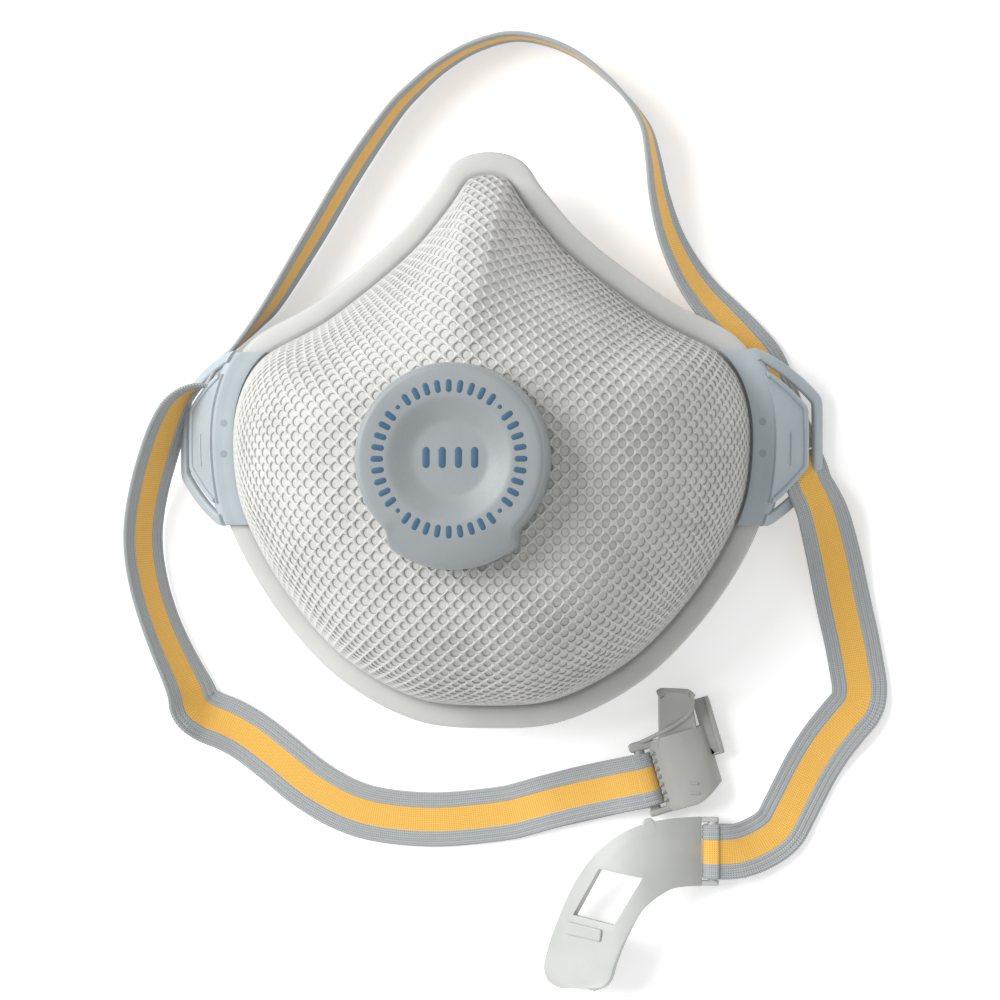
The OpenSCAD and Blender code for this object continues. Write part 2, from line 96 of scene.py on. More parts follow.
def shade_by_angle(obj, degrees=35):
    """Smooth faces, with edges sharper than the angle kept sharp."""
    limit = math.radians(degrees)
    with editing(obj) as bm:
        for edge in bm.edges:
            edge.smooth = not (len(edge.link_faces) == 2 and edge.calc_face_angle(0.0) > limit)
        for face in bm.faces:
            face.smooth = True
    return obj


def soften(obj, width, segments=3, angle=38):
    """Rounds the sharp edges of a moulded piece."""
    bevel = obj.modifiers.new("edge", "BEVEL")
    bevel.width = width * MM
    bevel.segments = segments
    bevel.limit_method = "ANGLE"
    bevel.angle_limit = math.radians(angle)
    bevel.use_clamp_overlap = True
    apply_modifiers(obj)
    return shade_by_angle(obj, 40)


def join(name, parts, material):
    """One object of one material from several."""
    merged = bmesh.new()
    for part in parts:
        merged.from_mesh(part.data)
    mesh = bpy.data.meshes.new(name)
    merged.to_mesh(mesh)
    merged.free()
    mesh.materials.append(material)
    for part in parts:
        bpy.data.objects.remove(part)
    return link(bpy.data.objects.new(name, mesh))


def catmull(points, steps, closed=False):
    """Points of a Catmull-Rom curve, steps to each stretch."""
    p = np.asarray(points, float)
    n = len(p)
    out = []
    for i in range(n if closed else n - 1):
        a, b, c, d = [p[(i + k) % n] if closed else p[min(max(i + k, 0), n - 1)]
                      for k in (-1, 0, 1, 2)]
        for s in range(steps):
            t = s / steps
            out.append(0.5 * (2 * b + (c - a) * t + (2 * a - 5 * b + 4 * c - d) * t * t
                              + (3 * b - a - 3 * c + d) * t ** 3))
    if not closed:
        out.append(p[-1])
    return np.array(out)


def unit(v):
    v = np.asarray(v, float)
    return v / np.maximum(np.linalg.norm(v, axis=-1, keepdims=True), 1e-12)


def rings_piece(name, rings, closed_round=True, loop=False, caps=True, **more):
    """A skin through rings of points. loop joins the last ring to the first."""
    k, n = len(rings), len(rings[0])
    verts = [p for ring in rings for p in ring]
    faces = []
    for a in range(k if loop else k - 1):
        b = (a + 1) % k
        for i in range(n if closed_round else n - 1):
            j = (i + 1) % n
            faces.append((a * n + i, a * n + j, b * n + j, b * n + i))
    if caps and not loop:
        faces.append(tuple(range(n - 1, -1, -1)))
        faces.append(tuple((k - 1) * n + i for i in range(n)))
    return fix_normals(mesh_piece(name, verts, faces, **more))


def flat_shape(name, outlines, thickness, bevel=0.2, resolution=2):
    """A flat plate with eased edges from closed outlines: the first, less the others. It lies on
    z = 0, half of it to each side."""
    curve = bpy.data.curves.new(name, "CURVE")
    curve.dimensions = "2D"
    curve.fill_mode = "BOTH"
    for outline in outlines:
        spline = curve.splines.new("POLY")
        spline.points.add(len(outline) - 1)
        for point, at in zip(spline.points, outline):
            point.co = (at[0] * MM, at[1] * MM, 0, 1)
        spline.use_cyclic_u = True
    curve.extrude = (thickness / 2 - bevel) * MM
    curve.bevel_depth = bevel * MM
    curve.offset = -bevel * MM
    curve.bevel_resolution = resolution
    obj = link(bpy.data.objects.new(name, curve))
    graph = bpy.context.evaluated_depsgraph_get()
    mesh = bpy.data.meshes.new_from_object(obj.evaluated_get(graph), depsgraph=graph)
    bpy.data.objects.remove(obj)
    bpy.data.curves.remove(curve)
    piece = link(bpy.data.objects.new(name, mesh))
    with editing(piece) as bm:
        bmesh.ops.remove_doubles(bm, verts=bm.verts, dist=1e-6)
        bmesh.ops.recalc_face_normals(bm, faces=bm.faces)
    return shade_by_angle(piece, 40)


def rounded(points, radius, steps=5):
    """A polygon with its corners rounded; radius may be a number for each corner."""
    p = np.asarray(points, float)
    n = len(p)
    radii = radius if hasattr(radius, "__len__") else [radius] * n
    out = []
    for i in range(n):
        a, b, c = p[i - 1], p[i], p[(i + 1) % n]
        u, v = unit(a - b), unit(c - b)
        half = math.acos(max(-1.0, min(1.0, float(u @ v)))) / 2
        cut = radii[i] / max(math.tan(half), 1e-6)
        cut = min(cut, 0.48 * np.linalg.norm(a - b), 0.48 * np.linalg.norm(c - b))
        if radii[i] <= 0 or cut < 1e-6:
            out.append(b)
            continue
        start, end = b + u * cut, b + v * cut
        for s in range(steps + 1):
            t = s / steps
            out.append((1 - t) ** 2 * start + 2 * t * (1 - t) * b + t * t * end)
    return out


def dense(points, step=1.0):
    """A closed or open line with no stretch longer than step."""
    p = np.asarray(points, float)
    out = [p[0]]
    for a, b in zip(p[:-1], p[1:]):
        count = max(1, int(np.ceil(np.linalg.norm(b - a) / step)))
        out += [a + (b - a) * k / count for k in range(1, count + 1)]
    return np.array(out)


def bar_section(width, height, ease, steps=3):
    """Outline of a bar with rounded edges, as (across, up) pairs."""
    corners = [(1, 1, 0), (-1, 1, 90), (-1, -1, 180), (1, -1, 270)]
    out = []
    for x, y, start in corners:
        for s in range(steps + 1):
            a = math.radians(start + 90 * s / steps)
            out.append((x * (width / 2 - ease) + ease * math.cos(a),
                        y * (height / 2 - ease) + ease * math.sin(a)))
    return out


def place(obj, matrix):
    obj.data.transform(matrix)
    obj.data.update()
    return obj


def lerp(a, b, t):
    return a + (b - a) * t


def moved(x, y, z):
    return Matrix.Translation(Vector((x, y, z)) * MM)


def spun(degrees, axis="Z"):
    return Matrix.Rotation(math.radians(degrees), 4, axis)


def heading_along(line):
    """Unit direction at each point of an open line."""
    ahead = np.zeros_like(line)
    ahead[1:-1] = line[2:] - line[:-2]
    ahead[0], ahead[-1] = line[1] - line[0], line[-1] - line[-2]
    return unit(ahead)


def run_along(line):
    """Distance from a line's start to each of its points."""
    return np.concatenate([[0], np.cumsum(np.linalg.norm(np.diff(line, axis=0), axis=1))])


def thicken(obj, thickness, offset=0, even=False):
    """Gives a sheet its wall, half to each side unless offset says otherwise."""
    wall = obj.modifiers.new("wall", "SOLIDIFY")
    wall.thickness = thickness * MM
    wall.offset = offset
    wall.use_even_offset = even
    return apply_modifiers(obj)


def curved_sheet(name, grid, thickness, keep=None, bevel=0.35):
    """A plate of even thickness on a grid of points, less the cells that keep refuses."""
    grid = np.asarray(grid, float)
    rows, columns = grid.shape[:2]
    verts = grid.reshape(-1, 3)
    faces = []
    for r in range(rows - 1):
        for c in range(columns - 1):
            if keep is None or keep(r, c):
                faces.append((r * columns + c, r * columns + c + 1, (r + 1) * columns + c + 1,
                              (r + 1) * columns + c))
    piece = mesh_piece(name, verts, faces)
    with editing(piece) as bm:
        bmesh.ops.delete(bm, geom=[v for v in bm.verts if not v.link_faces], context="VERTS")
    up = sum(p.normal.z * p.area for p in piece.data.polygons)
    if up < 0:
        piece.data.flip_normals()
    thicken(piece, thickness, even=True)
    return soften(piece, bevel, 3, 50)


def stand_in(piece, body, replaced):
    """Puts a piece on a body, in the place of one of its CAD nodes."""
    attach(piece, body)
    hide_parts(replaced)


# ---- materials


def new_material(name):
    material = bpy.data.materials.new(name)
    material.use_nodes = True
    tree = material.node_tree
    shader = tree.nodes["Principled BSDF"]
    return material, tree, shader


def node(tree, kind, **values):
    made = tree.nodes.new(kind)
    for key, value in values.items():
        if key in made.inputs:
            made.inputs[key].default_value = value
        else:
            setattr(made, key, value)
    return made


def constants(shader, values):
    for socket, value in values.items():
        shader.inputs[socket].default_value = value


def noise(tree, source, scale, detail, roughness=0.5):
    made = node(tree, "ShaderNodeTexNoise", Scale=scale, Detail=detail, Roughness=roughness)
    tree.links.new(source, made.inputs["Vector"])
    return made.outputs["Fac"]


def maths(tree, operation, *values):
    """A Math node's output. Each value is a number or another node's output."""
    made = node(tree, "ShaderNodeMath", operation=operation)
    for socket, value in zip(made.inputs, values):
        if isinstance(value, (int, float)):
            socket.default_value = value
        else:
            tree.links.new(value, socket)
    return made.outputs[0]


def tint_by(tree, shader, source, dark, light, low, high):
    """Base colour from dark to light as the source goes from low to high."""
    colour = node(tree, "ShaderNodeValToRGB")
    for element, position, tint in zip(colour.color_ramp.elements, (low, high), (dark, light)):
        element.position = position
        element.color = (*tint, 1)
    tree.links.new(source, colour.inputs["Fac"])
    tree.links.new(colour.outputs["Color"], shader.inputs["Base Color"])


def raise_by(tree, shader, source, strength, distance):
    relief = node(tree, "ShaderNodeBump", Strength=strength, Distance=distance)
    tree.links.new(source, relief.inputs["Height"])
    tree.links.new(relief.outputs["Normal"], shader.inputs["Normal"])


def moulded(name, dark, light, rough=0.45, grain=900, bump=0.06, specular=0.5, blotch=60):
    """Injection-moulded plastic or rubber: slow colour drift, fine grain in gloss and relief."""
    material, tree, shader = new_material(name)
    space = node(tree, "ShaderNodeTexCoord").outputs["Object"]
    tint_by(tree, shader, noise(tree, space, blotch, 4.0, 0.55), dark, light, 0.32, 0.68)
    fine = noise(tree, space, grain, 3.0, 0.6)
    gloss = node(tree, "ShaderNodeMapRange", **{"To Min": rough - 0.07, "To Max": rough + 0.09})
    tree.links.new(fine, gloss.inputs["Value"])
    tree.links.new(gloss.outputs["Result"], shader.inputs["Roughness"])
    raise_by(tree, shader, fine, bump, 0.0004)
    constants(shader, {"Specular IOR Level": specular})
    return material


def nonwoven(name, dark, light, fibre=1800, bump=0.35):
    """Felted fibres: stretched noise in two directions over a cloudy base."""
    material, tree, shader = new_material(name)
    space = node(tree, "ShaderNodeTexCoord").outputs["Object"]
    fibres = []
    for turn, stretch in ((0.5, (1, 5, 1)), (-0.9, (5, 1, 1))):
        mapping = node(tree, "ShaderNodeMapping", Rotation=(0.2, 0.1, turn), Scale=stretch)
        tree.links.new(space, mapping.inputs["Vector"])
        fibres.append(noise(tree, mapping.outputs["Vector"], fibre / 5, 5.0, 0.7))
    both = maths(tree, "MAXIMUM", *fibres)
    cloud = noise(tree, space, 90.0, 3.0)
    mix = maths(tree, "MULTIPLY_ADD", cloud, 0.5, maths(tree, "MULTIPLY", both, 0.5))
    tint_by(tree, shader, mix, dark, light, 0.38, 0.66)
    raise_by(tree, shader, both, bump, 0.0005)
    constants(shader, {"Roughness": 0.9, "Specular IOR Level": 0.2, "Sheen Weight": 0.15,
                       "Sheen Roughness": 0.6})
    return material


def webbing(name, dark, light, weft=0.42, warp=0.5):
    """Knitted elastic yarn, with painted shade: its colour is darker in the knit's hollows and lighter
    on its crests. The strap map runs along (V) and across (U) in millimetres.
    """
    material, tree, shader = new_material(name)
    mapped = node(tree, "ShaderNodeUVMap", uv_map="strap")
    split = node(tree, "ShaderNodeSeparateXYZ")
    tree.links.new(mapped.outputs["UV"], split.inputs["Vector"])
    across = maths(tree, "SINE", maths(tree, "MULTIPLY", split.outputs["X"], 2 * math.pi / warp))
    rows = maths(tree, "MULTIPLY", split.outputs["Y"], 2 * math.pi / weft)
    along = maths(tree, "SINE", maths(tree, "ADD", rows, maths(tree, "MULTIPLY", across, 1.6)))
    knit = maths(tree, "MULTIPLY_ADD", across, 0.6, along)
    space = node(tree, "ShaderNodeTexCoord").outputs["Object"]
    height = maths(tree, "MULTIPLY_ADD", noise(tree, space, 2200.0, 4.0), 0.8, knit)
    # Painted shade: the base colour follows the knit's height, darker in its hollows and lighter on
    # its crests; the noise in the height adds a random tone as well.
    hollow_shade_and_tone = node(tree, "ShaderNodeMapRange", **{"From Min": -1.4, "From Max": 2.0})
    tree.links.new(height, hollow_shade_and_tone.inputs["Value"])
    tint_by(tree, shader, hollow_shade_and_tone.outputs["Result"], dark, light, 0.15, 0.8)
    raise_by(tree, shader, height, 0.35, 0.0002)
    constants(shader, {"Roughness": 0.75, "Specular IOR Level": 0.3, "Sheen Weight": 0.2,
                       "Sheen Roughness": 0.5})
    return material


NET = moulded("net_plastic", (0.53, 0.53, 0.505), (0.60, 0.60, 0.575), rough=0.42, bump=0.05,
              grain=1500, blotch=45)
FILTER = nonwoven("filter_felt", (0.50, 0.50, 0.48), (0.62, 0.62, 0.60))
INNER = nonwoven("inner_felt", (0.60, 0.60, 0.585), (0.72, 0.72, 0.70), fibre=2600, bump=0.2)
FLANGE = moulded("rim_elastomer", (0.50, 0.50, 0.485), (0.57, 0.57, 0.555), rough=0.55, grain=700,
                 bump=0.08, blotch=35)
SEAL = moulded("seal_elastomer", (0.52, 0.53, 0.53), (0.60, 0.61, 0.61), rough=0.5, grain=600,
               bump=0.06, blotch=30)
COVER = moulded("valve_cover_plastic", (0.255, 0.28, 0.285), (0.295, 0.32, 0.325), rough=0.42,
                grain=1400, bump=0.05)
VALVE = moulded("valve_body_plastic", (0.55, 0.58, 0.60), (0.63, 0.66, 0.68), rough=0.4)
FLAP = moulded("flap_silicone", (0.74, 0.74, 0.70), (0.80, 0.80, 0.77), rough=0.3, bump=0.03)
CLIP = moulded("clip_plastic", (0.37, 0.425, 0.455), (0.43, 0.485, 0.515), rough=0.4, grain=1200,
               bump=0.05)
RIVET = moulded("rivet_plastic", (0.27, 0.315, 0.34), (0.33, 0.375, 0.40), rough=0.5)
CATCH = moulded("catch_plastic", (0.34, 0.34, 0.32), (0.40, 0.40, 0.38), rough=0.42, grain=1300,
                bump=0.05)
HOOK = moulded("hook_plastic", (0.44, 0.45, 0.44), (0.51, 0.52, 0.51), rough=0.38, grain=1300,
               bump=0.05)
PRINT = moulded("print_ink", (0.025, 0.085, 0.155), (0.035, 0.105, 0.185), rough=0.5, bump=0.02)
GREY = webbing("strap_grey", (0.23, 0.245, 0.25), (0.50, 0.525, 0.53))
YELLOW = webbing("strap_yellow", (0.66, 0.34, 0.05), (1.0, 0.60, 0.14), weft=0.5, warp=0.4)


def paint(obj, *materials):
    for material in materials:
        obj.data.materials.append(material)
    return obj


# ---- camera

VIEW_TILT = math.radians(9.3)
VIEW_DISTANCE = 1.0
VIEW_WIDTH = 0.217      # what the view takes in, as a share of its distance
VIEW_TARGET = Vector((2.4, -13.0, 15.5)) * MM
lens = bpy.data.cameras.new("camera")
lens.sensor_width = 36
lens.lens = lens.sensor_width / VIEW_WIDTH
lens.clip_start = 0.05
camera = link(bpy.data.objects.new("camera", lens))
camera.location = VIEW_TARGET + Vector((math.sin(VIEW_TILT), 0, math.cos(VIEW_TILT))) * VIEW_DISTANCE
camera.rotation_euler = (0, VIEW_TILT, 0)
scene.camera = camera

# ---- straps, the free cords

STRAP_WIDTH = 12.0
STRAP_THICKNESS = 1.0
STRIPE_HALF = 2.6

CROWN_ROUTE = [
    (-65.5, 12.5, 6.2, -108), (-62.5, 17, 6, -104), (-58.3, 21, 6, -98), (-53.6, 26, 6, -90),
    (-49.6, 31, 6, -84), (-40.5, 45.5, 6, -80), (-32, 59.5, 6, -80), (-23.2, 72, 6, -83),
    (-18.2, 77.3, 6, -85), (-12.4, 82.2, 6, -87), (-5.2, 86.3, 6, -88), (3, 88.5, 6, -88),
    (10.5, 87.5, 6, -87), (17.5, 84.5, 6, -86), (23.5, 80, 6, -86), (29, 74.5, 6, -88),
    (33, 68.5, 6, -92), (34.7, 61.5, 6, -97), (36, 53.5, 5.9, -103), (38.3, 45, 5.7, -110),
    (41.8, 37.5, 5.5, -118), (45.6, 31.8, 5.2, -125), (49.9, 27, 4.9, -132),
    (54.2, 22.2, 4.5, -138), (57.9, 17.5, 4.3, -142), (60.4, 12, 4.3, -142),
    (62.4, 6.5, 4.4, -141), (64.5, 1.3, 4.5, -140), (66.3, -2.5, 4.8, -136)]
LEFT_ROUTE = [
    (-65.5, 12.5, 6.2, 108), (-68.3, 10.8, 7.6, 86), (-71.2, 7.6, 8.4, 70), (-73.6, 2.5, 8.2, 61),
    (-75.8, -3.5, 7.2, 58), (-77.6, -9, 6.3, 58), (-79, -15, 5.6, 58), (-79.6, -20.5, 5.4, 58),
    (-79.3, -26, 5.4, 58), (-78.3, -31.5, 5.4, 58), (-76.9, -36.5, 5.4, 58),
    (-75.1, -41.5, 5.4, 57), (-73, -46.5, 5.2, 54), (-70.9, -51, 4.9, 50), (-69.2, -55, 4.3, 42),
    (-68, -59, 3, 26), (-65.2, -61.2, 1.6, 10), (-61, -62.9, 1, 3), (-56, -65.8, 0.6, 0),
    (-50, -70.3, 0.6, 0), (-43, -75.8, 0.6, 0), (-35, -80.3, 0.6, 0), (-26.5, -82.7, 0.6, 0),
    (-14, -83.5, 0.6, 0), (0, -82.1, 0.6, 0), (6, -80.7, 1.1, 0), (10.5, -79.4, 1.7, 0),
    (17, -77.7, 1.8, 0), (23.5, -76.2, 2.4, 0), (29, -75, 4.2, 0), (33, -74.2, 5, 0)]
RIGHT_ROUTE = [
    (66.3, -2.5, 4.8, 44), (67.7, -6, 5.7, 42), (68.9, -9.5, 6.9, 38), (70.9, -13.5, 7.8, 34),
    (72.2, -17.5, 6.8, 26), (73.3, -22.5, 4.8, 20), (74.3, -27.5, 3.2, 14), (75.2, -32.5, 2, 9),
    (76.3, -38, 1.1, 3), (77.5, -43.5, 0.6, 0), (78.5, -49, 0.6, 0), (79.2, -53.8, 0.7, 0),
    (78.6, -57.6, 1.1, -4), (75.6, -61.4, 1.4, -6), (72, -66, 1, -3), (68.8, -71, 0.6, 0),
    (66.2, -76, 0.6, 0), (63.8, -80.8, 0.7, 0), (61.4, -85, 1.2, 0), (57, -88, 2, 0),
    (52.5, -89.5, 3.6, 0), (47.5, -89.6, 5, 0)]
CATCH_BAR = np.array([33, -74.2, 3.0])
CATCH_TURN = math.radians(16.7)
HOOK_BAR = np.array([47.5, -89.6, 3.0])


def strap_section(width=STRAP_WIDTH):
    """Across and through of the ribbed strap's section: three cords in each grey border and a
    flat yellow middle with fine ribs."""
    half = width / 2
    across = np.concatenate([np.linspace(-half, -STRIPE_HALF, 17)[:-1],
                             np.linspace(-STRIPE_HALF, STRIPE_HALF, 15)[:-1],
                             np.linspace(STRIPE_HALF, half, 17)])
    up = []
    for a in across:
        reach = abs(a)
        if reach > STRIPE_HALF:
            turn = (reach - STRIPE_HALF) / (half - STRIPE_HALF) * 3
            rise = 0.27 + 0.23 * abs(math.sin(math.pi * turn)) ** 0.7
            rise *= 1 - 0.45 * max(0.0, (reach - half + 0.35) / 0.35) ** 2
        else:
            rise = 0.37 + 0.035 * math.cos(2 * math.pi * a / 1.04)
        up.append(rise * STRAP_THICKNESS)
    return list(zip(across, up)) + [(a, -h) for a, h in zip(across, up)][::-1]


def webbing_piece(name, rings, section, run):
    """A strap's skin through rings of its section, with its stripe and the map for its weave."""
    n = len(section)
    stripe = []
    for (a, up), (b, next_up) in zip(section, section[1:] + section[:1]):
        stripe.append(1 if abs(a + b) / 2 < STRIPE_HALF and up * next_up > 0 else 0)
    tint = stripe * (len(rings) - 1) + [0, 0]
    piece = rings_piece(name, rings, material_index=tint)
    layer = piece.data.uv_layers.new(name="strap")
    for polygon in piece.data.polygons:
        for corner in polygon.loop_indices:
            v = piece.data.loops[corner].vertex_index
            layer.data[corner].uv = (section[v % n][0], run[v // n])
    return paint(piece, GREY, YELLOW)


def ribbon(name, route):
    """The webbing along a route of (x, y, z, roll in degrees). Returns the piece and its path."""
    line = catmull(route, 6)
    points, rolls = line[:, :3], np.radians(line[:, 3])
    heading = heading_along(points)
    side = unit(np.cross(heading, (0, 0, 1)))
    up = np.cross(side, heading)
    section = strap_section()
    rings = []
    for p, s, u, r in zip(points, side, up, rolls):
        across = s * math.cos(r) + u * math.sin(r)
        through = u * math.cos(r) - s * math.sin(r)
        rings.append([p + across * a + through * h for a, h in section])
    piece = webbing_piece(name, rings, section, run_along(points))
    return piece, [tuple(p * MM) for p in points]


def bar_turn(tail):
    """The strap's end, as (along, up): half a turn round the bar and back under the strap."""
    wrap = []
    for step in range(9):
        angle = math.radians(90 - 22.5 * step)
        wrap.append((2.0 * math.cos(angle), 2.0 * math.sin(angle)))
    return [(-1.5, 2.0)] + wrap + [(-2.5, -2.05), (-5, -2.3)] + [(-a, -2.42) for a in tail]


def fold_piece(name, bar, turn, tail, width, drift=0.0):
    """A ribbon in the upright plane along the strap, with its width along the bar. The tail
    drifts sideways to stay below a strap that comes in at an angle."""
    line = catmull(bar_turn(tail), 3)
    section = strap_section(width)
    forward = np.array([math.cos(turn), math.sin(turn), 0.0])
    sideways = np.array([-math.sin(turn), math.cos(turn), 0.0])
    upward = np.array([0, 0, 1.0])
    rings = []
    for (a, h), (ta, th) in zip(line, heading_along(line)):
        out = upward * ta - forward * th
        centre = bar + forward * a + upward * h + sideways * drift * max(0, -a - 2)
        rings.append([centre + sideways * b + out * t for b, t in section])
    return webbing_piece(name, rings, section, run_along(line))


crown, crown_path = ribbon("crown_webbing", CROWN_ROUTE)
left, left_path = ribbon("left_neck_webbing", LEFT_ROUTE)
right, right_path = ribbon("right_neck_webbing", RIGHT_ROUTE)
left_fold = fold_piece("left_strap_fold", CATCH_BAR, CATCH_TURN, (9, 14, 19, 25), 11.6, 0.06)
right_fold = fold_piece("right_strap_fold", HOOK_BAR, math.pi, (6, 7), 11.8)
for piece, replaced in ((crown, "crown_strap"), (left, "left_neck_strap"),
                        (right, "right_neck_strap"), (left_fold, "left_strap_tail"),
                        (right_fold, "right_strap_tail")):
    stand_in(piece, "mask", replaced)

# ---- rim and cup surface

MASK_LENGTH, MASK_WIDTH = 125.0, 123.0
FRONT_HEIGHT = 56.5
CHEEK_HEIGHT, SADDLE_RISE = 10.5, 5.0
FLANGE_WIDTH, FLANGE_THICKNESS = 5.0, 1.6
VALVE_AXIS = np.array([0.0, -4.5])
PAD_RADIUS, PORT_RADIUS, PORT_LIP = 17.0, 13.0, 15.0
MESH_DEPTH, FILTER_DEPTHS, INNER_DEPTHS = 0.5, (0.52, 2.4), (2.5, 3.3)
RIM_HALF = [(0, 1), (0.12, 0.966), (0.204, 0.856), (0.35, 0.696), (0.625, 0.49), (0.882, 0.344),
            (0.992, 0.128), (0.99, -0.16), (0.911, -0.384), (0.751, -0.626), (0.54, -0.834),
            (0.269, -0.973), (0, -1)]

half_rim = [(x * MASK_WIDTH / 2, y * MASK_LENGTH / 2) for x, y in RIM_HALF]
RIM = catmull(half_rim + [(-x, y) for x, y in half_rim[-2:0:-1]], 12, closed=True)
RIM_COUNT = len(RIM)
rim_heading = unit(np.roll(RIM, -1, 0) - np.roll(RIM, 1, 0))
RIM_INWARD = np.stack([rim_heading[:, 1], -rim_heading[:, 0]], 1)
rim_sine = unit(RIM - VALVE_AXIS)[:, 1]
FLANGE_Z = CHEEK_HEIGHT + SADDLE_RISE * np.maximum(0, (rim_sine ** 2 - 0.14) / 0.86) ** 1.2
nose_share = np.maximum(0, rim_sine) ** 1.5
chin_share = np.maximum(0, -rim_sine) ** 1.5
FALL_POWER = 2.2 - 0.65 * nose_share + 0.6 * chin_share
FALL_ROOT = 0.55 + 0.3 * nose_share - 0.05 * chin_share


def rim_points(inset):
    """Points inset from the rim: square to it across the flange, then towards the valve axis."""
    near = RIM + RIM_INWARD * min(inset, FLANGE_WIDTH + 1)
    return near + unit(VALVE_AXIS - near) * max(inset - FLANGE_WIDTH - 1, 0)


def cup_ring(share, depth):
    """A ring of the cup: share 0 at the edge of the flat front, 1 at the flange."""
    edge = rim_points(FLANGE_WIDTH + depth)
    away = edge - VALVE_AXIS
    length = np.linalg.norm(away, axis=1)
    at = VALVE_AXIS + unit(away) * (PAD_RADIUS + (length - PAD_RADIUS) * share)[:, None]
    base = FLANGE_Z + FLANGE_THICKNESS
    top = FRONT_HEIGHT - depth
    height = base + (top - base) * np.maximum(0, 1 - share ** FALL_POWER) ** FALL_ROOT
    return np.column_stack([at, height])


def port_ring(radius, depth):
    at = VALVE_AXIS + unit(RIM - VALVE_AXIS) * radius
    return np.column_stack([at, np.full(RIM_COUNT, FRONT_HEIGHT - depth)])


def cup_layer(name, outer, inner, steps=44):
    shares = np.sin(np.linspace(0, math.pi / 2, steps + 1))
    rings = [port_ring(PORT_RADIUS, outer), port_ring(PORT_LIP, outer)]
    rings += [cup_ring(s, outer) for s in shares]
    rings += [cup_ring(s, inner) for s in shares[::-1]]
    rings += [port_ring(PORT_LIP, inner), port_ring(PORT_RADIUS, inner)]
    return rings_piece(name, rings, loop=True)


filter_piece = paint(cup_layer("filter_felt_cup", *FILTER_DEPTHS), FILTER)
inner_piece = paint(cup_layer("inner_shell_lining", *INNER_DEPTHS), INNER)


# The cup's outer face, unrolled: distance over the surface from the valve axis, by direction.
MERIDIAN_STEPS = 160
shares = np.concatenate([[0], np.sin(np.linspace(0, math.pi / 2, MERIDIAN_STEPS + 1))[1:]])
meridians = np.stack([cup_ring(s, 0.0) for s in shares], 1)
hops = np.linalg.norm(np.diff(meridians, axis=1), axis=2)
MERIDIAN_RUN = PAD_RADIUS + np.concatenate([np.zeros((RIM_COUNT, 1)), np.cumsum(hops, 1)], 1)
edge_away = meridians[:, -1, :2] - VALVE_AXIS
EDGE_ANGLE = np.unwrap(np.arctan2(edge_away[:, 0], edge_away[:, 1]))


def by_direction(flat, values):
    """A value for each point's direction, from one for each rim point and the first again."""
    start = EDGE_ANGLE[0]
    angle = np.mod(np.arctan2(flat[:, 0], flat[:, 1]) - start, 2 * math.pi) + start
    return np.interp(angle, np.append(EDGE_ANGLE, start + 2 * math.pi), values)


def edge_reach(flat):
    """How far over the surface the flange is, in each point's direction."""
    return by_direction(flat, np.append(MERIDIAN_RUN[:, -1], MERIDIAN_RUN[0, -1]))


def on_cup(flat):
    """Points of the cup's outer face for points of the unrolled net."""
    reach = np.linalg.norm(flat, axis=1)
    spot = by_direction(flat, np.arange(RIM_COUNT + 1))
    low = np.minimum(spot.astype(int), RIM_COUNT - 1)
    out = np.zeros((len(flat), 3))
    for offset in (0, 1):
        index = (low + offset) % RIM_COUNT
        weight = 1 - (spot - low) if offset == 0 else spot - low
        for i in np.unique(index):
            mine = index == i
            at = np.interp(reach[mine], MERIDIAN_RUN[i], np.arange(MERIDIAN_RUN.shape[1]))
            a = np.minimum(at.astype(int), MERIDIAN_STEPS - 1)
            part = (at - a)[:, None]
            found = meridians[i, a] * (1 - part) + meridians[i, a + 1] * part
            inner = reach[mine] < PAD_RADIUS
            if inner.any():
                away = unit(meridians[i, 0, :2] - VALVE_AXIS) * reach[mine][inner][:, None]
                found[inner] = np.column_stack([VALVE_AXIS + away,
                                                np.full(inner.sum(), FRONT_HEIGHT)])
            out[mine] += found * weight[mine][:, None]
    return out


# ---- outer net

CELL_WIDE, CELL_HIGH = 3.5, 3.4
HOLE_WIDE, HOLE_HIGH = 0.92, 1.04     # half sizes of a hole at the net's back
HOLE_ROUNDNESS = 1.75
HOLE_POINTS = 12                      # three to each side of its cell
HOLE_FLARE, SHOULDER_DEPTH = 1.13, 0.2
NET_START = 15.6
UNEVEN_SIZE, UNEVEN_PLACE = 0.09, 0.05


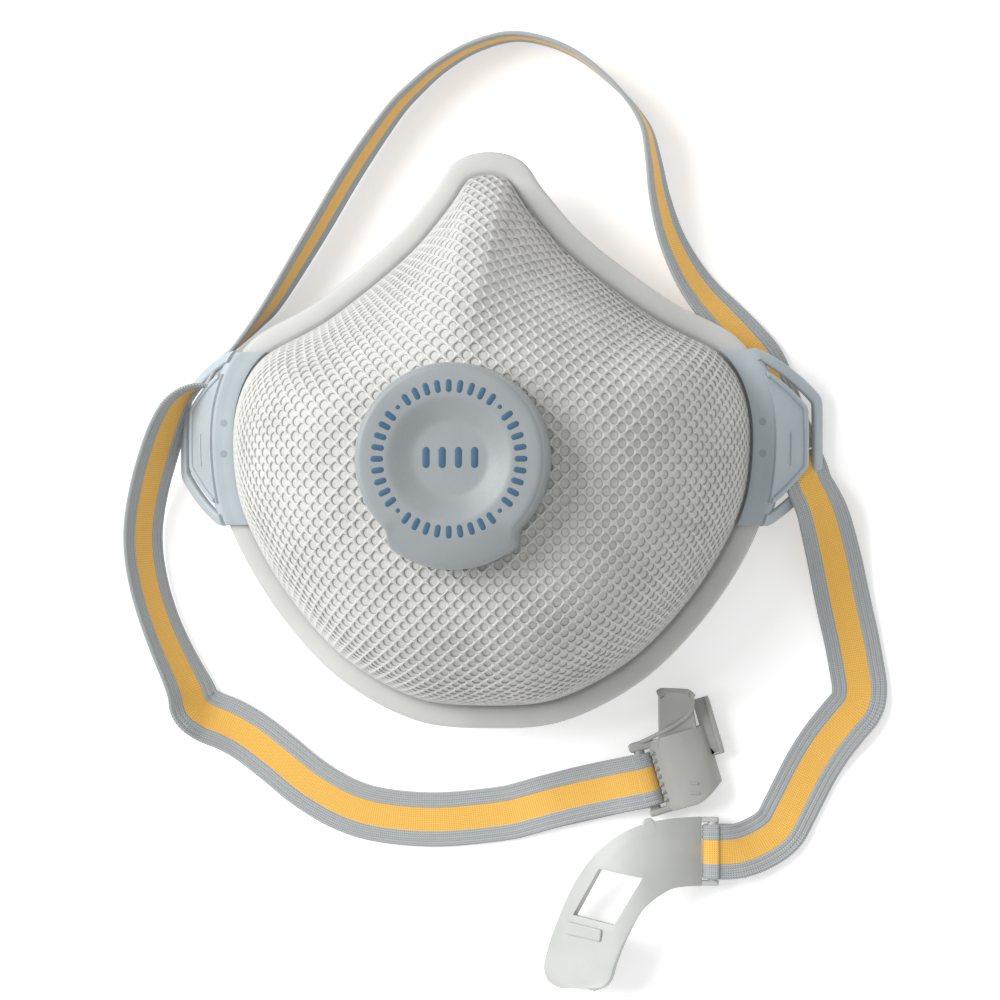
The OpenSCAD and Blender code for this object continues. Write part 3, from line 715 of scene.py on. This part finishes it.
def net(name):
    """The lattice with a rounded hole in each diamond cell: crest, shoulder, hole wall and back."""
    corners = np.array([(CELL_WIDE / 2, 0), (0, CELL_HIGH / 2), (-CELL_WIDE / 2, 0),
                        (0, -CELL_HIGH / 2)])
    angle = np.arange(HOLE_POINTS) * 2 * math.pi / HOLE_POINTS
    radius = (np.abs(np.cos(angle) / HOLE_WIDE) ** HOLE_ROUNDNESS
              + np.abs(np.sin(angle) / HOLE_HIGH) ** HOLE_ROUNDNESS) ** (-1 / HOLE_ROUNDNESS)
    hole = np.column_stack([np.cos(angle), np.sin(angle)]) * radius[:, None]
    reach = MERIDIAN_RUN[:, -1].max() + CELL_WIDE
    columns = int(reach / (CELL_WIDE / 2)) + 1
    rows = int(reach / (CELL_HIGH / 2)) + 1
    flat, depth, faces, shared = [], [], [], {}

    def corner_point(p, level):
        key = (round(p[0] * 100), round(p[1] * 100), level)
        if key not in shared:
            shared[key] = len(flat)
            flat.append(p)
            depth.append(level)
        return shared[key]

    random = np.random.default_rng(7)
    for row in range(-rows, rows + 1):
        for column in range(-columns, columns + 1):
            if (row + column) % 2:
                continue
            centre = np.array([column * CELL_WIDE / 2, row * CELL_HIGH / 2])
            far = np.linalg.norm(centre)
            if far < NET_START or far > edge_reach(centre[None])[0] + 0.4:
                continue
            swell = 1 + random.uniform(-UNEVEN_SIZE, UNEVEN_SIZE)
            shift = random.uniform(-UNEVEN_PLACE, UNEVEN_PLACE, 2)
            crest = [corner_point(centre + c, 0.0) for c in corners]
            back = [corner_point(centre + c, MESH_DEPTH) for c in corners]
            rings = []
            for size, level in ((HOLE_FLARE, SHOULDER_DEPTH), (1.0, MESH_DEPTH)):
                rings.append([len(flat) + k for k in range(HOLE_POINTS)])
                flat.extend(centre + shift + p * swell * size for p in hole)
                depth.extend([level] * HOLE_POINTS)
            top, low = rings
            for k in range(HOLE_POINTS):
                j = (k + 1) % HOLE_POINTS
                faces.append((top[k], top[j], low[j], low[k]))
            for k in range(4):
                j, first = (k + 1) % 4, 3 * k
                second, third, last = first + 1, first + 2, (first + 3) % HOLE_POINTS
                faces.append((crest[k], crest[j], top[third], top[second]))
                faces.append((crest[k], top[second], top[first]))
                faces.append((crest[j], top[last], top[third]))
                faces.append((back[j], back[k], low[second], low[third]))
                faces.append((back[k], low[first], low[second]))
                faces.append((back[j], low[third], low[last]))
    flat, depth = np.array(flat), np.array(depth)
    limit = edge_reach(flat) - 0.02
    far = np.linalg.norm(flat, axis=1)
    over = far > limit
    flat[over] *= (limit[over] / far[over])[:, None]
    step = 0.25
    east, west, north, south = [on_cup(flat + nudge) for nudge in
                                ((step, 0), (-step, 0), (0, step), (0, -step))]
    normal = unit(np.cross(east - west, north - south))
    normal[normal[:, 2] < 0] *= -1
    wander = 0.06 * np.sin(flat[:, 0] * 0.21 + 1.0) * np.sin(flat[:, 1] * 0.17 + 0.4)
    at = on_cup(flat) - normal * (depth * (1 + wander))[:, None]
    return mesh_piece(name, at, faces)


net_piece = paint(net("outer_net"), NET)

# ---- flange and seal


def rim_sweep(name, section, loop=True):
    """Sweeps [inset, share of the flange's height, height added] round the rim."""
    rings = []
    for inset, share, lift in section:
        rings.append(np.column_stack([rim_points(inset), np.maximum(share * FLANGE_Z + lift, 0)]))
    return rings_piece(name, rings, loop=loop)


T = FLANGE_THICKNESS
flange_piece = rim_sweep("rim_flange_band", [
    (0.35, 1, 0.06), (0.08, 1, 0.35), (0, 1, 0.8), (0.1, 1, 1.2), (0.4, 1, 1.48),
    (0.9, 1, T + 0.02), (1.8, 1, T + 0.12), (2.8, 1, T + 0.14), (3.7, 1, T + 0.08),
    (4.3, 1, T - 0.1), (4.75, 1, T - 0.45), (5.2, 1, T - 0.6), (6.4, 1, T - 0.3),
    (9.3, 1, T), (9.5, 1, 0.1), (5, 1, 0.02), (1.5, 1, 0)])
paint(flange_piece, FLANGE)
seal_section = catmull([
    (4.6, 1, -0.1), (4.9, 0.62, 0), (6.2, 0.25, 0), (8.6, 0.02, 0.1), (11, 0, 0), (14, 0, 0),
    (16.0, 0, 0.02), (17.2, 0, 0.7), (16.0, 0, 1.5), (12.8, 0, 1.6), (9.9, 0.03, 1.55),
    (8.2, 0.32, 0.5), (7.2, 0.65, 0), (7, 1, -0.1)], 4)
seal_piece = paint(rim_sweep("face_seal_skirt", seal_section), SEAL)

for piece, replaced, slot in ((net_piece, "outer_mesh", "support_mesh"),
                              (filter_piece, "filter_cup", "filter"),
                              (inner_piece, "inner_shell", "inner_shell"),
                              (flange_piece, "flange_ring", "rim_flange"),
                              (seal_piece, "face_seal", "face_seal")):
    stand_in(piece, "mask", replaced)

# ---- valve

COVER_RADIUS, COVER_HEIGHT, COVER_WALL = 20.0, 10.0, 1.1
DISH_DEPTH = 2.0
COVER_SHOULDER = 17.2                 # radius at which the top starts to fall to the spout
OUTLET_HALF = 10.8
SPOUT_HALF, SPOUT_REACH, SPOUT_ARC = 13.4, 23.0, 21.0
SPOUT_CENTRE = SPOUT_ARC - SPOUT_REACH
SPOUT_DROP = 2.2
MARK_RADIUS = 15.1
VALVE_AT = moved(*VALVE_AXIS, FRONT_HEIGHT)


def valve_cover(name):
    """The cover as rings round its axis, with the spout grown out of one side and the outlet left
    open below it, then given its wall."""
    count = 288
    angle = np.arange(count) * 2 * math.pi / count
    across, forward = np.sin(angle), -np.cos(angle)
    outline = np.full(count, COVER_RADIUS)
    for i in range(count):
        if forward[i] < -0.3:
            b = forward[i] * SPOUT_CENTRE
            arc = b + math.sqrt(b * b + SPOUT_ARC ** 2 - SPOUT_CENTRE ** 2)
            side = SPOUT_HALF / max(abs(across[i]), 1e-3)
            outline[i] = max(COVER_RADIUS, min(side, arc))
    for _ in range(3):
        outline = (np.roll(outline, 1) + 2 * outline + np.roll(outline, -1)) / 4
    share = np.clip((outline - COVER_RADIUS) / (SPOUT_REACH - COVER_RADIUS), 0, 1) ** 0.7
    top_edge = COVER_HEIGHT - SPOUT_DROP * share
    rings = []
    low = COVER_HEIGHT - DISH_DEPTH
    for r, z in ((3, low), (5.5, low), (7.3, low), (7.8, low + 0.03), (8.3, low + 0.14),
                 (9, low + 0.38), (10, low + 0.8), (11, low + 1.2), (12, low + 1.62),
                 (12.6, low + 1.84), (13.1, low + 1.96), (13.7, COVER_HEIGHT),
                 (15.5, COVER_HEIGHT), (COVER_SHOULDER, COVER_HEIGHT)):
        rings.append(np.column_stack([r * across, r * forward, np.full(count, z)]))
    for inset, drop in ((1.5, 0.0), (0.95, 0.08), (0.5, 0.28), (0.2, 0.6), (0.04, 1.05), (0, 1.6)):
        r = outline - inset
        t = (r - COVER_SHOULDER) / np.maximum(outline - COVER_SHOULDER, 0.1)
        t = np.clip(t, 0, 1)
        z = COVER_HEIGHT - (COVER_HEIGHT - top_edge) * t * t * (3 - 2 * t) - drop
        rings.append(np.column_stack([r * across, r * forward, z]))
    top = len(rings)
    for z in (6.0, 4.4, 2.7, 1.0, 0.4, 0.05):
        rings.append(np.column_stack([outline * across, outline * forward, np.full(count, z)]))
    verts = [np.array([0, 0, low])] + [p for ring in rings for p in ring]
    faces = [(0, 1 + i, 1 + (i + 1) % count) for i in range(count)]
    for a in range(len(rings) - 1):
        for i in range(count):
            j = (i + 1) % count
            mouth = forward[i] < 0 and abs(across[i]) * outline[i] < OUTLET_HALF
            if mouth and top + 1 <= a <= top + 2:
                continue
            faces.append((1 + a * count + i, 1 + (a + 1) * count + i, 1 + (a + 1) * count + j,
                          1 + a * count + j))
    piece = fix_normals(mesh_piece(name, verts, faces))
    thicken(piece, COVER_WALL, offset=-1)
    soften(piece, 0.18, 2, 50)
    return place(piece, VALVE_AT)


def pill(length, width, steps=6):
    """Outline of a short bar with round ends, along Y."""
    r = width / 2
    out = []
    for end, start in ((1, 0), (-1, 180)):
        for s in range(steps + 1):
            a = math.radians(start + 180 * s / steps)
            out.append((r * math.cos(a), end * (length / 2 - r) + r * math.sin(a)))
    return out


def valve_marks(name):
    """Plain printed marks in place of lettering: a ring of bars and dots, and four bars inside."""
    parts = []
    places = 40
    for i in range(places):
        dot = i % 10 == 5
        shape = pill(0.95, 0.94) if dot else pill(2.7, 1.2)
        mark = flat_shape("mark", [shape], 0.12, bevel=0.03, resolution=1)
        turn = Matrix.Rotation(-2 * math.pi * i / places, 4, "Z")
        parts.append(place(mark, VALVE_AT @ turn @ moved(0, MARK_RADIUS, COVER_HEIGHT)))
    for i in range(4):
        mark = flat_shape("mark", [pill(4.4, 1.5)], 0.12, bevel=0.03, resolution=1)
        at = moved((i - 1.5) * 3.4, 0.3, COVER_HEIGHT - DISH_DEPTH)
        parts.append(place(mark, VALVE_AT @ at))
    return join(name, parts, PRINT)


cover_piece = paint(valve_cover("valve_cover_shell"), COVER)
stand_in(cover_piece, "mask", "valve_cover")
marks = valve_marks("valve_printed_marks")
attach(marks, "mask")

# ---- side clips

BAND_THICKNESS = 1.4
CLIP_Y = 0.5
BAND_HALF = 19.0
FLANGE_TOP = CHEEK_HEIGHT + FLANGE_THICKNESS
BAND_MIDDLE = FLANGE_TOP + 0.05 + BAND_THICKNESS / 2
LOOP_ROOT = np.array([MASK_WIDTH / 2 + 1.6, CLIP_Y, FLANGE_TOP + 0.05 + BAND_THICKNESS - 0.6])
LOOP_SLOPE = math.radians(52)
FOLD_REACH = 1.0
TONGUE_REACH, LOOP_REACH = 8.4, 12.9


def band_line(inset):
    """The right rim's points at an inset, cut to the clip's length and evenly spaced."""
    line = RIM + RIM_INWARD * inset
    line = line[(line[:, 0] > 20) & (np.abs(line[:, 1] - CLIP_Y) < BAND_HALF + 6)]
    line = line[np.argsort(line[:, 1])]
    y = CLIP_Y + np.linspace(-BAND_HALF, BAND_HALF, 49)
    return np.column_stack([np.interp(y, line[:, 1], line[:, 0]), y])


edge = band_line(-FOLD_REACH)


def on_loop(reach, y, height=0.0):
    """A point of the sloping loop: reach down the slope from the fold, y along it, height above
    its middle. The loop's root follows the curved fold, and its far bar is straight."""
    inset = np.interp(y, edge[:, 1], edge[:, 0]) - LOOP_ROOT[0]
    fade = (1 - np.clip(reach / LOOP_REACH, 0, 1)) ** 1.2
    c, sn = math.cos(LOOP_SLOPE), math.sin(LOOP_SLOPE)
    return (LOOP_ROOT[0] + reach * c + height * sn + inset * fade, y,
            LOOP_ROOT[2] - reach * sn + height * c)


def loop_bar(name, path, width, height, lift=0.0, ease=0.4):
    """A bar of rounded section along a path of (reach, y) on the loop."""
    line = dense(path, 0.8)
    rings = []
    for (reach, y), (hr, hy) in zip(line, heading_along(line)):
        rings.append([on_loop(reach + hy * a, y - hr * a, lift + h)
                      for a, h in bar_section(width, height, ease)])
    return shade_by_angle(rings_piece(name, rings), 50)


def clip_piece(name, mirror):
    """The right clip: a band folded over the rim, its loop and the tongue inside the loop."""
    z = BAND_MIDDLE
    profile = [(4.35, z - 0.02), (3.9, z + 0.02), (3.1, z + 0.04), (2.2, z - 0.02), (1.4, z - 0.02),
               (0.5, z + 0.05), (-0.2, z + 0.06), (-0.62, z - 0.1), (-0.9, z - 0.5),
               (-0.97, z - 1.2), (-0.97, z - 2.4), (-0.97, 9.2)]
    rings = []
    for inset, height in profile:
        line = band_line(inset)
        rings.append(np.column_stack([line, np.full(len(line), height)]))
    band = rings_piece("band", rings, closed_round=False, caps=False)
    for polygon in band.data.polygons:
        if polygon.center.z > 0.0125 and polygon.normal.z < 0:
            band.data.flip_normals()
            break
    thicken(band, 1.3)
    soften(band, 0.38, 3, 45)

    foot, flat = BAND_HALF - 1.1, 8.0
    outline = rounded([(-0.8, -foot), (0.4, -foot), (LOOP_REACH - 1.25, -flat),
                       (LOOP_REACH - 1.25, flat), (0.4, foot), (-0.8, foot)],
                      [0, 1.2, 2.6, 2.6, 1.2, 0])
    parts = [band, loop_bar("loop", [(r, y + CLIP_Y) for r, y in outline], 2.5, 1.5, ease=0.5)]
    side = [(0.0, -14.2), (TONGUE_REACH, -6.6), (TONGUE_REACH, 6.6), (0.0, 14.2)]
    shape = np.array(rounded(side, [0, 2.0, 2.0, 0]))
    ys = np.linspace(-14.1, 14.1, 57)
    reaches = np.interp(ys, shape[:, 1], shape[:, 0])
    grid = [[on_loop(lerp(-0.9, r, k / 12), y + CLIP_Y) for k in range(13)]
            for y, r in zip(ys, reaches)]
    parts.append(curved_sheet("tongue", grid, 0.85, bevel=0.25))
    rim = rounded([(-0.5, -13.6), (0.2, -13.5), (TONGUE_REACH - 0.5, -6.3),
                   (TONGUE_REACH - 0.5, 6.3), (0.2, 13.5), (-0.5, 13.6)],
                  [0, 0.4, 1.6, 1.6, 0.4, 0])
    parts.append(loop_bar("tongue_rim", [(r, y + CLIP_Y) for r, y in rim], 1.15, 1.1, lift=0.42,
                          ease=0.38))
    parts.append(loop_bar("tongue_ridge", [(3.6, -5.4), (3.6, 1.6)], 0.55, 0.5, lift=0.5,
                          ease=0.2))
    piece = join(name, parts, CLIP)
    if mirror:
        piece.data.transform(Matrix.Scale(-1, 4, (1, 0, 0)))
        piece.data.flip_normals()
    return piece


for side, mirror in (("right", False), ("left", True)):
    stand_in(clip_piece(side + "_clip_moulding", mirror), "mask", side + "_clip")

# ---- buckles


def bar_piece(name, at, length, radius):
    """A round bar with eased ends, along the buckle's width."""
    end = length / 2
    rings = []
    for y, r in ((-end, radius - 0.25), (-end + 0.08, radius - 0.08), (-end + 0.25, radius),
                 (0, radius - 0.06), (end - 0.25, radius), (end - 0.08, radius - 0.08),
                 (end, radius - 0.25)):
        turns = [2 * math.pi * k / 24 for k in range(24)]
        rings.append([np.array([r * math.cos(a), y, r * math.sin(a)]) for a in turns])
    return shade_by_angle(place(rings_piece(name, rings), moved(*at)), 50)


BAR_RADIUS = 1.2
HOOK_NECK = 44.6          # where the hook's plate starts, beside its bar
HOOK_BANK = 0.9           # how much higher its right edge is
HOOK_ARCH = [(45.5, 3), (41, 6.2), (36.5, 8.4), (31.5, 9.3), (26.5, 8.7), (21.5, 6.9),
             (16.5, 4.3), (11.5, 1.9), (8, 0.9)]
HOOK_LEFT = [(HOOK_NECK, -82.1), (40, -82.2), (34.5, -83), (28.5, -85.4), (22.5, -90.2), (17.2, -97.5),
             (13, -106.5), (10.6, -113.6), (10.4, -116.6), (11.6, -118.7), (14.4, -119.6)]
HOOK_RIGHT = [(HOOK_NECK, -97.1), (41.5, -97.1), (37.8, -98), (33, -102), (29.2, -108.5),
              (27.0, -113.8), (26.0, -117.0), (24.4, -118.9), (21.6, -119.7)]
WINDOW = np.array([25.1, -99.4])
WINDOW_U = np.array([math.cos(math.radians(-10.4)), math.sin(math.radians(-10.4))]) * 4.8
WINDOW_V = np.array([math.cos(math.radians(-120.4)), math.sin(math.radians(-120.4))]) * 6.0


def crossing(curve, a, b):
    """The point of a fine curve on the line through a and b, as a share of the curve."""
    across = (curve[:, 0] - a[0]) * (b[1] - a[1]) - (curve[:, 1] - a[1]) * (b[0] - a[0])
    i = int(np.where(np.diff(np.sign(across)) != 0)[0][0])
    return (i + across[i] / (across[i] - across[i + 1])) / (len(curve) - 1)


def hook_piece(name):
    """The hook half: an arched plate with a window, on a grid that follows the window's sides."""
    left_edge, right_edge = catmull(HOOK_LEFT, 40), catmull(HOOK_RIGHT, 40)
    arch = catmull(HOOK_ARCH[::-1], 20)
    w1, w2 = WINDOW - WINDOW_U - WINDOW_V, WINDOW + WINDOW_U - WINDOW_V
    w4, w3 = WINDOW - WINDOW_U + WINDOW_V, WINDOW + WINDOW_U + WINDOW_V
    knots_l = [0, crossing(left_edge, w1, w2), crossing(left_edge, w4, w3), 1]
    knots_r = [0, crossing(right_edge, w1, w2), crossing(right_edge, w4, w3), 1]
    stretches = (22, 16, 16)
    columns = (6, 9, 6)

    def on(curve, t):
        x = np.interp(t * (len(curve) - 1), np.arange(len(curve)), curve[:, 0])
        y = np.interp(t * (len(curve) - 1), np.arange(len(curve)), curve[:, 1])
        return np.array([x, y])

    def shares(a, b, c, d):
        long = np.linalg.norm(d - a)
        return np.linalg.norm(b - a) / long, np.linalg.norm(c - a) / long

    top = shares(on(left_edge, knots_l[1]), w1, w2, on(right_edge, knots_r[1]))
    low = shares(on(left_edge, knots_l[2]), w4, w3, on(right_edge, knots_r[2]))
    grid = []
    for s, steps in enumerate(stretches):
        for i in range(steps + (s == 2)):
            t = i / steps
            a = on(left_edge, lerp(knots_l[s], knots_l[s + 1], t))
            d = on(right_edge, lerp(knots_r[s], knots_r[s + 1], t))
            if s == 1:
                b, c = lerp(w1, w4, t), lerp(w2, w3, t)
            else:
                f, g = top if s == 0 else low
                b, c = lerp(a, d, f), lerp(a, d, g)
            row = []
            for (p, q), count in zip(((a, b), (b, c), (c, d)), columns):
                row += [lerp(p, q, k / count) for k in range(count)]
            row.append(d)
            line = []
            for k, p in enumerate(row):
                bank = k / (len(row) - 1)
                z = float(np.interp(p[0], arch[:, 0], arch[:, 1]))
                fade = min(1.0, (HOOK_NECK - p[0]) / 12)
                line.append((p[0], p[1], z + HOOK_BANK * bank * fade - 0.1))
            grid.append(line)
    first, last = stretches[0], stretches[0] + stretches[1]

    def solid(r, c):
        return not (first <= r < last and columns[0] <= c < columns[0] + columns[1])

    parts = [curved_sheet("hook_plate", grid, 1.6, keep=solid, bevel=0.36)]
    parts.append(bar_piece("hook_bar", HOOK_BAR, 15.0, BAR_RADIUS))
    for side in (-1, 1):
        arm = [(-3.9, -0.55), (1.0, -0.55), (1.2, 0), (1.0, 0.55), (-3.9, 0.55)]
        piece = flat_shape("hook_arm", [rounded(arm, 0.3)], 2.4, bevel=0.3)
        parts.append(place(piece, moved(*(HOOK_BAR + (0, side * 6.9, 0)))))
    tab = flat_shape("hook_tab", [rounded([(-4.6, -1.4), (4.6, -1.4), (4.6, 1.4), (-4.6, 1.4)],
                                          0.5)], 1.3, bevel=0.3)
    parts.append(place(tab, moved(19.8, -107.2, 7.0) @ spun(-27, "Y") @ spun(-8)))
    crest = flat_shape("hook_crest", [pill(9, 3.2)], 1.1, bevel=0.5, resolution=4)
    parts.append(place(crest, moved(34.5, -86.5, 9.2) @ spun(9, "Y") @ spun(8)))
    return join(name, parts, HOOK)


def catch_piece(name):
    """The catch half, made along its own bar and then turned into place."""
    at = moved(*CATCH_BAR) @ Matrix.Rotation(CATCH_TURN, 4, "Z")
    span = 8.1
    start = 2.8
    arch = catmull([(start, 0.4), (start + 3.5, 1.9), (start + 8, 2.3), (start + 11, 1.2),
                    (start + 12.2, -1.2)], 8)
    grid = []
    for a, z in arch:
        t = (a - start) / 12.2
        low = -span + 3.4 * (max(0.0, t - 0.5) / 0.5) ** 2 + 10 * max(0.0, 0.12 - t)
        row = []
        for k in range(19):
            b = lerp(low, span, k / 18)
            row.append((a, b, z - 0.12 * ((b / span) ** 2)))
        grid.append(row)
    parts = [curved_sheet("catch_plate", grid, 1.5, bevel=0.4)]
    near = catmull([(4.4, 6.1, 1.3), (5.6, 9.2, 2.0), (6.8, 12.4, 3.5), (8.0, 15.4, 5.6),
                    (9.2, 18.2, 8.4)], 8)
    away = catmull([(13.7, 6.1, 1.0), (14.0, 9.2, 1.7), (14.5, 11.7, 2.9), (15.1, 13.9, 4.8),
                    (15.7, 15.8, 7.4)], 8)
    grid = []
    for i, (p, q) in enumerate(zip(near, away)):
        t = i / (len(near) - 1)
        corner = max(0.0, t - 0.86) / 0.14
        row = []
        for k in range(17):
            s = k / 16
            pull = corner * (max(0.0, abs(s - 0.5) * 2 - 0.7) / 0.3) ** 2
            at_s = p + (q - p) * s
            row.append((at_s[0], at_s[1] - 1.4 * pull,
                        at_s[2] - 1.2 * pull - 0.9 * t * math.sin(math.pi * s)))
        grid.append(row)
    parts.append(curved_sheet("catch_flap", grid, 1.5, bevel=0.42))
    crest = catmull([(1.2, 8.3, 1.0), (4, 8.7, 2.0), (8, 9.5, 2.8), (11.4, 10.4, 2.9),
                     (13.9, 11.6, 3.5), (15.0, 13.4, 4.9), (15.7, 15.4, 7.2)], 6)
    rings = []
    for p, q in zip(crest, np.vstack([crest[1:], 2 * crest[-1:] - crest[-2:-1]])):
        ahead = unit(q - p)
        flat_side = unit(np.cross(ahead, (0, 0, 1)))
        over = np.cross(flat_side, ahead)
        rings.append([p + 0.5 * (flat_side * math.cos(a) + over * math.sin(a))
                      for a in np.linspace(0, 2 * math.pi, 13)[:-1]])
    parts.append(shade_by_angle(rings_piece("catch_crest", rings), 50))
    parts.append(bar_piece("catch_bar", (0, 0, 0), 16.2, BAR_RADIUS))
    for middle, back, half in ((-7.3, -1.5, 0.75), (7.6, -1.9, 1.1)):
        arm = [(back, -half), (3.8, -half), (3.8, half), (back, half)]
        piece = flat_shape("catch_arm", [rounded(arm, half - 0.1)], 2.6, bevel=0.45)
        parts.append(place(piece, moved(0, middle, 0)))
    for i in range(7):
        tooth = flat_shape("catch_tooth", [rounded([(-0.55, -0.45), (0.55, -0.45), (0.4, 0.45),
                                                    (-0.4, 0.45)], 0.2)], 1.3, bevel=0.3)
        parts.append(place(tooth, moved(start + 0.15, (i - 3) * 1.75, 1.2)))
    tab = rounded([(13.0, 1.2), (13.0, 8.3), (14.4, 8.3), (14.4, 14), (18.0, 14), (18.0, 1.0),
                   (14.4, 1.0), (14.4, 1.2)], [0.2, 0.2, 0.2, 0.8, 0.8, 0.8, 0.2, 0.2])
    piece = flat_shape("catch_tab", [tab], 1.5, bevel=0.35)
    parts.append(place(piece, moved(0, 0, -0.6)))
    lip = rounded([(17.1, 1.0), (18.0, 1.0), (18.0, 14), (17.1, 14)], 0.35)
    piece = flat_shape("catch_lip", [lip], 2.1, bevel=0.3)
    parts.append(place(piece, moved(0, 0, -0.2)))
    for b, a in ((-3.4, 9.9), (-5.6, 9.6)):
        ridge = flat_shape("catch_ridge", [pill(2.4, 0.6)], 0.5, bevel=0.2)
        parts.append(place(ridge, moved(a, b, 3.0) @ spun(70)))
    return place(join(name, parts, CATCH), at)


hook = hook_piece("hook_buckle_half")
stand_in(hook, "hook", "hook_buckle")
catch = catch_piece("catch_buckle_half")
stand_in(catch, "catch", "catch_buckle")

# ---- CAD nodes that stay

for name, material in (("valve_seat", VALVE), ("valve_clamp_ring", VALVE), ("valve_flap", FLAP),
                       ("left_clip_backing", CLIP), ("right_clip_backing", CLIP),
                       ("left_clip_rivets", RIVET), ("right_clip_rivets", RIVET)):
    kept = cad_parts[name]
    kept.data.materials.clear()
    kept.data.materials.append(material)

# ---- floor and light

FLOOR_HALF, FLOOR_DROP = 1500, -0.4
floor = mesh_piece("floor", [(x * FLOOR_HALF, y * FLOOR_HALF, FLOOR_DROP)
                             for x, y in ((-1, -1), (1, -1), (1, 1), (-1, 1))],
                   [(0, 1, 2, 3)], smooth=False)
FLOOR = moulded("floor_paper", (0.90, 0.90, 0.90), (0.94, 0.94, 0.94), rough=0.9, bump=0.0,
                specular=0.0, blotch=6)
constants(FLOOR.node_tree.nodes["Principled BSDF"],
          {"Emission Color": (1, 1, 1, 1), "Emission Strength": 0.3})
paint(floor, FLOOR)

world = bpy.data.worlds.new("soft_room")
world.use_nodes = True
constants(world.node_tree.nodes["Background"], {"Color": (1.0, 1.0, 1.0, 1), "Strength": 0.66})
scene.world = world


def area_light(name, at, target, size, power):
    data = bpy.data.lights.new(name, "AREA")
    data.shape = "DISK"
    data.size = size
    data.energy = power
    lamp = link(bpy.data.objects.new(name, data))
    lamp.location = Vector(at)
    lamp.rotation_euler = (Vector(target) - Vector(at)).to_track_quat("-Z", "Y").to_euler()


area_light("key", (-1.35, 0.5, 1.3), (0, 0, 0.02), 1.4, 38.0)
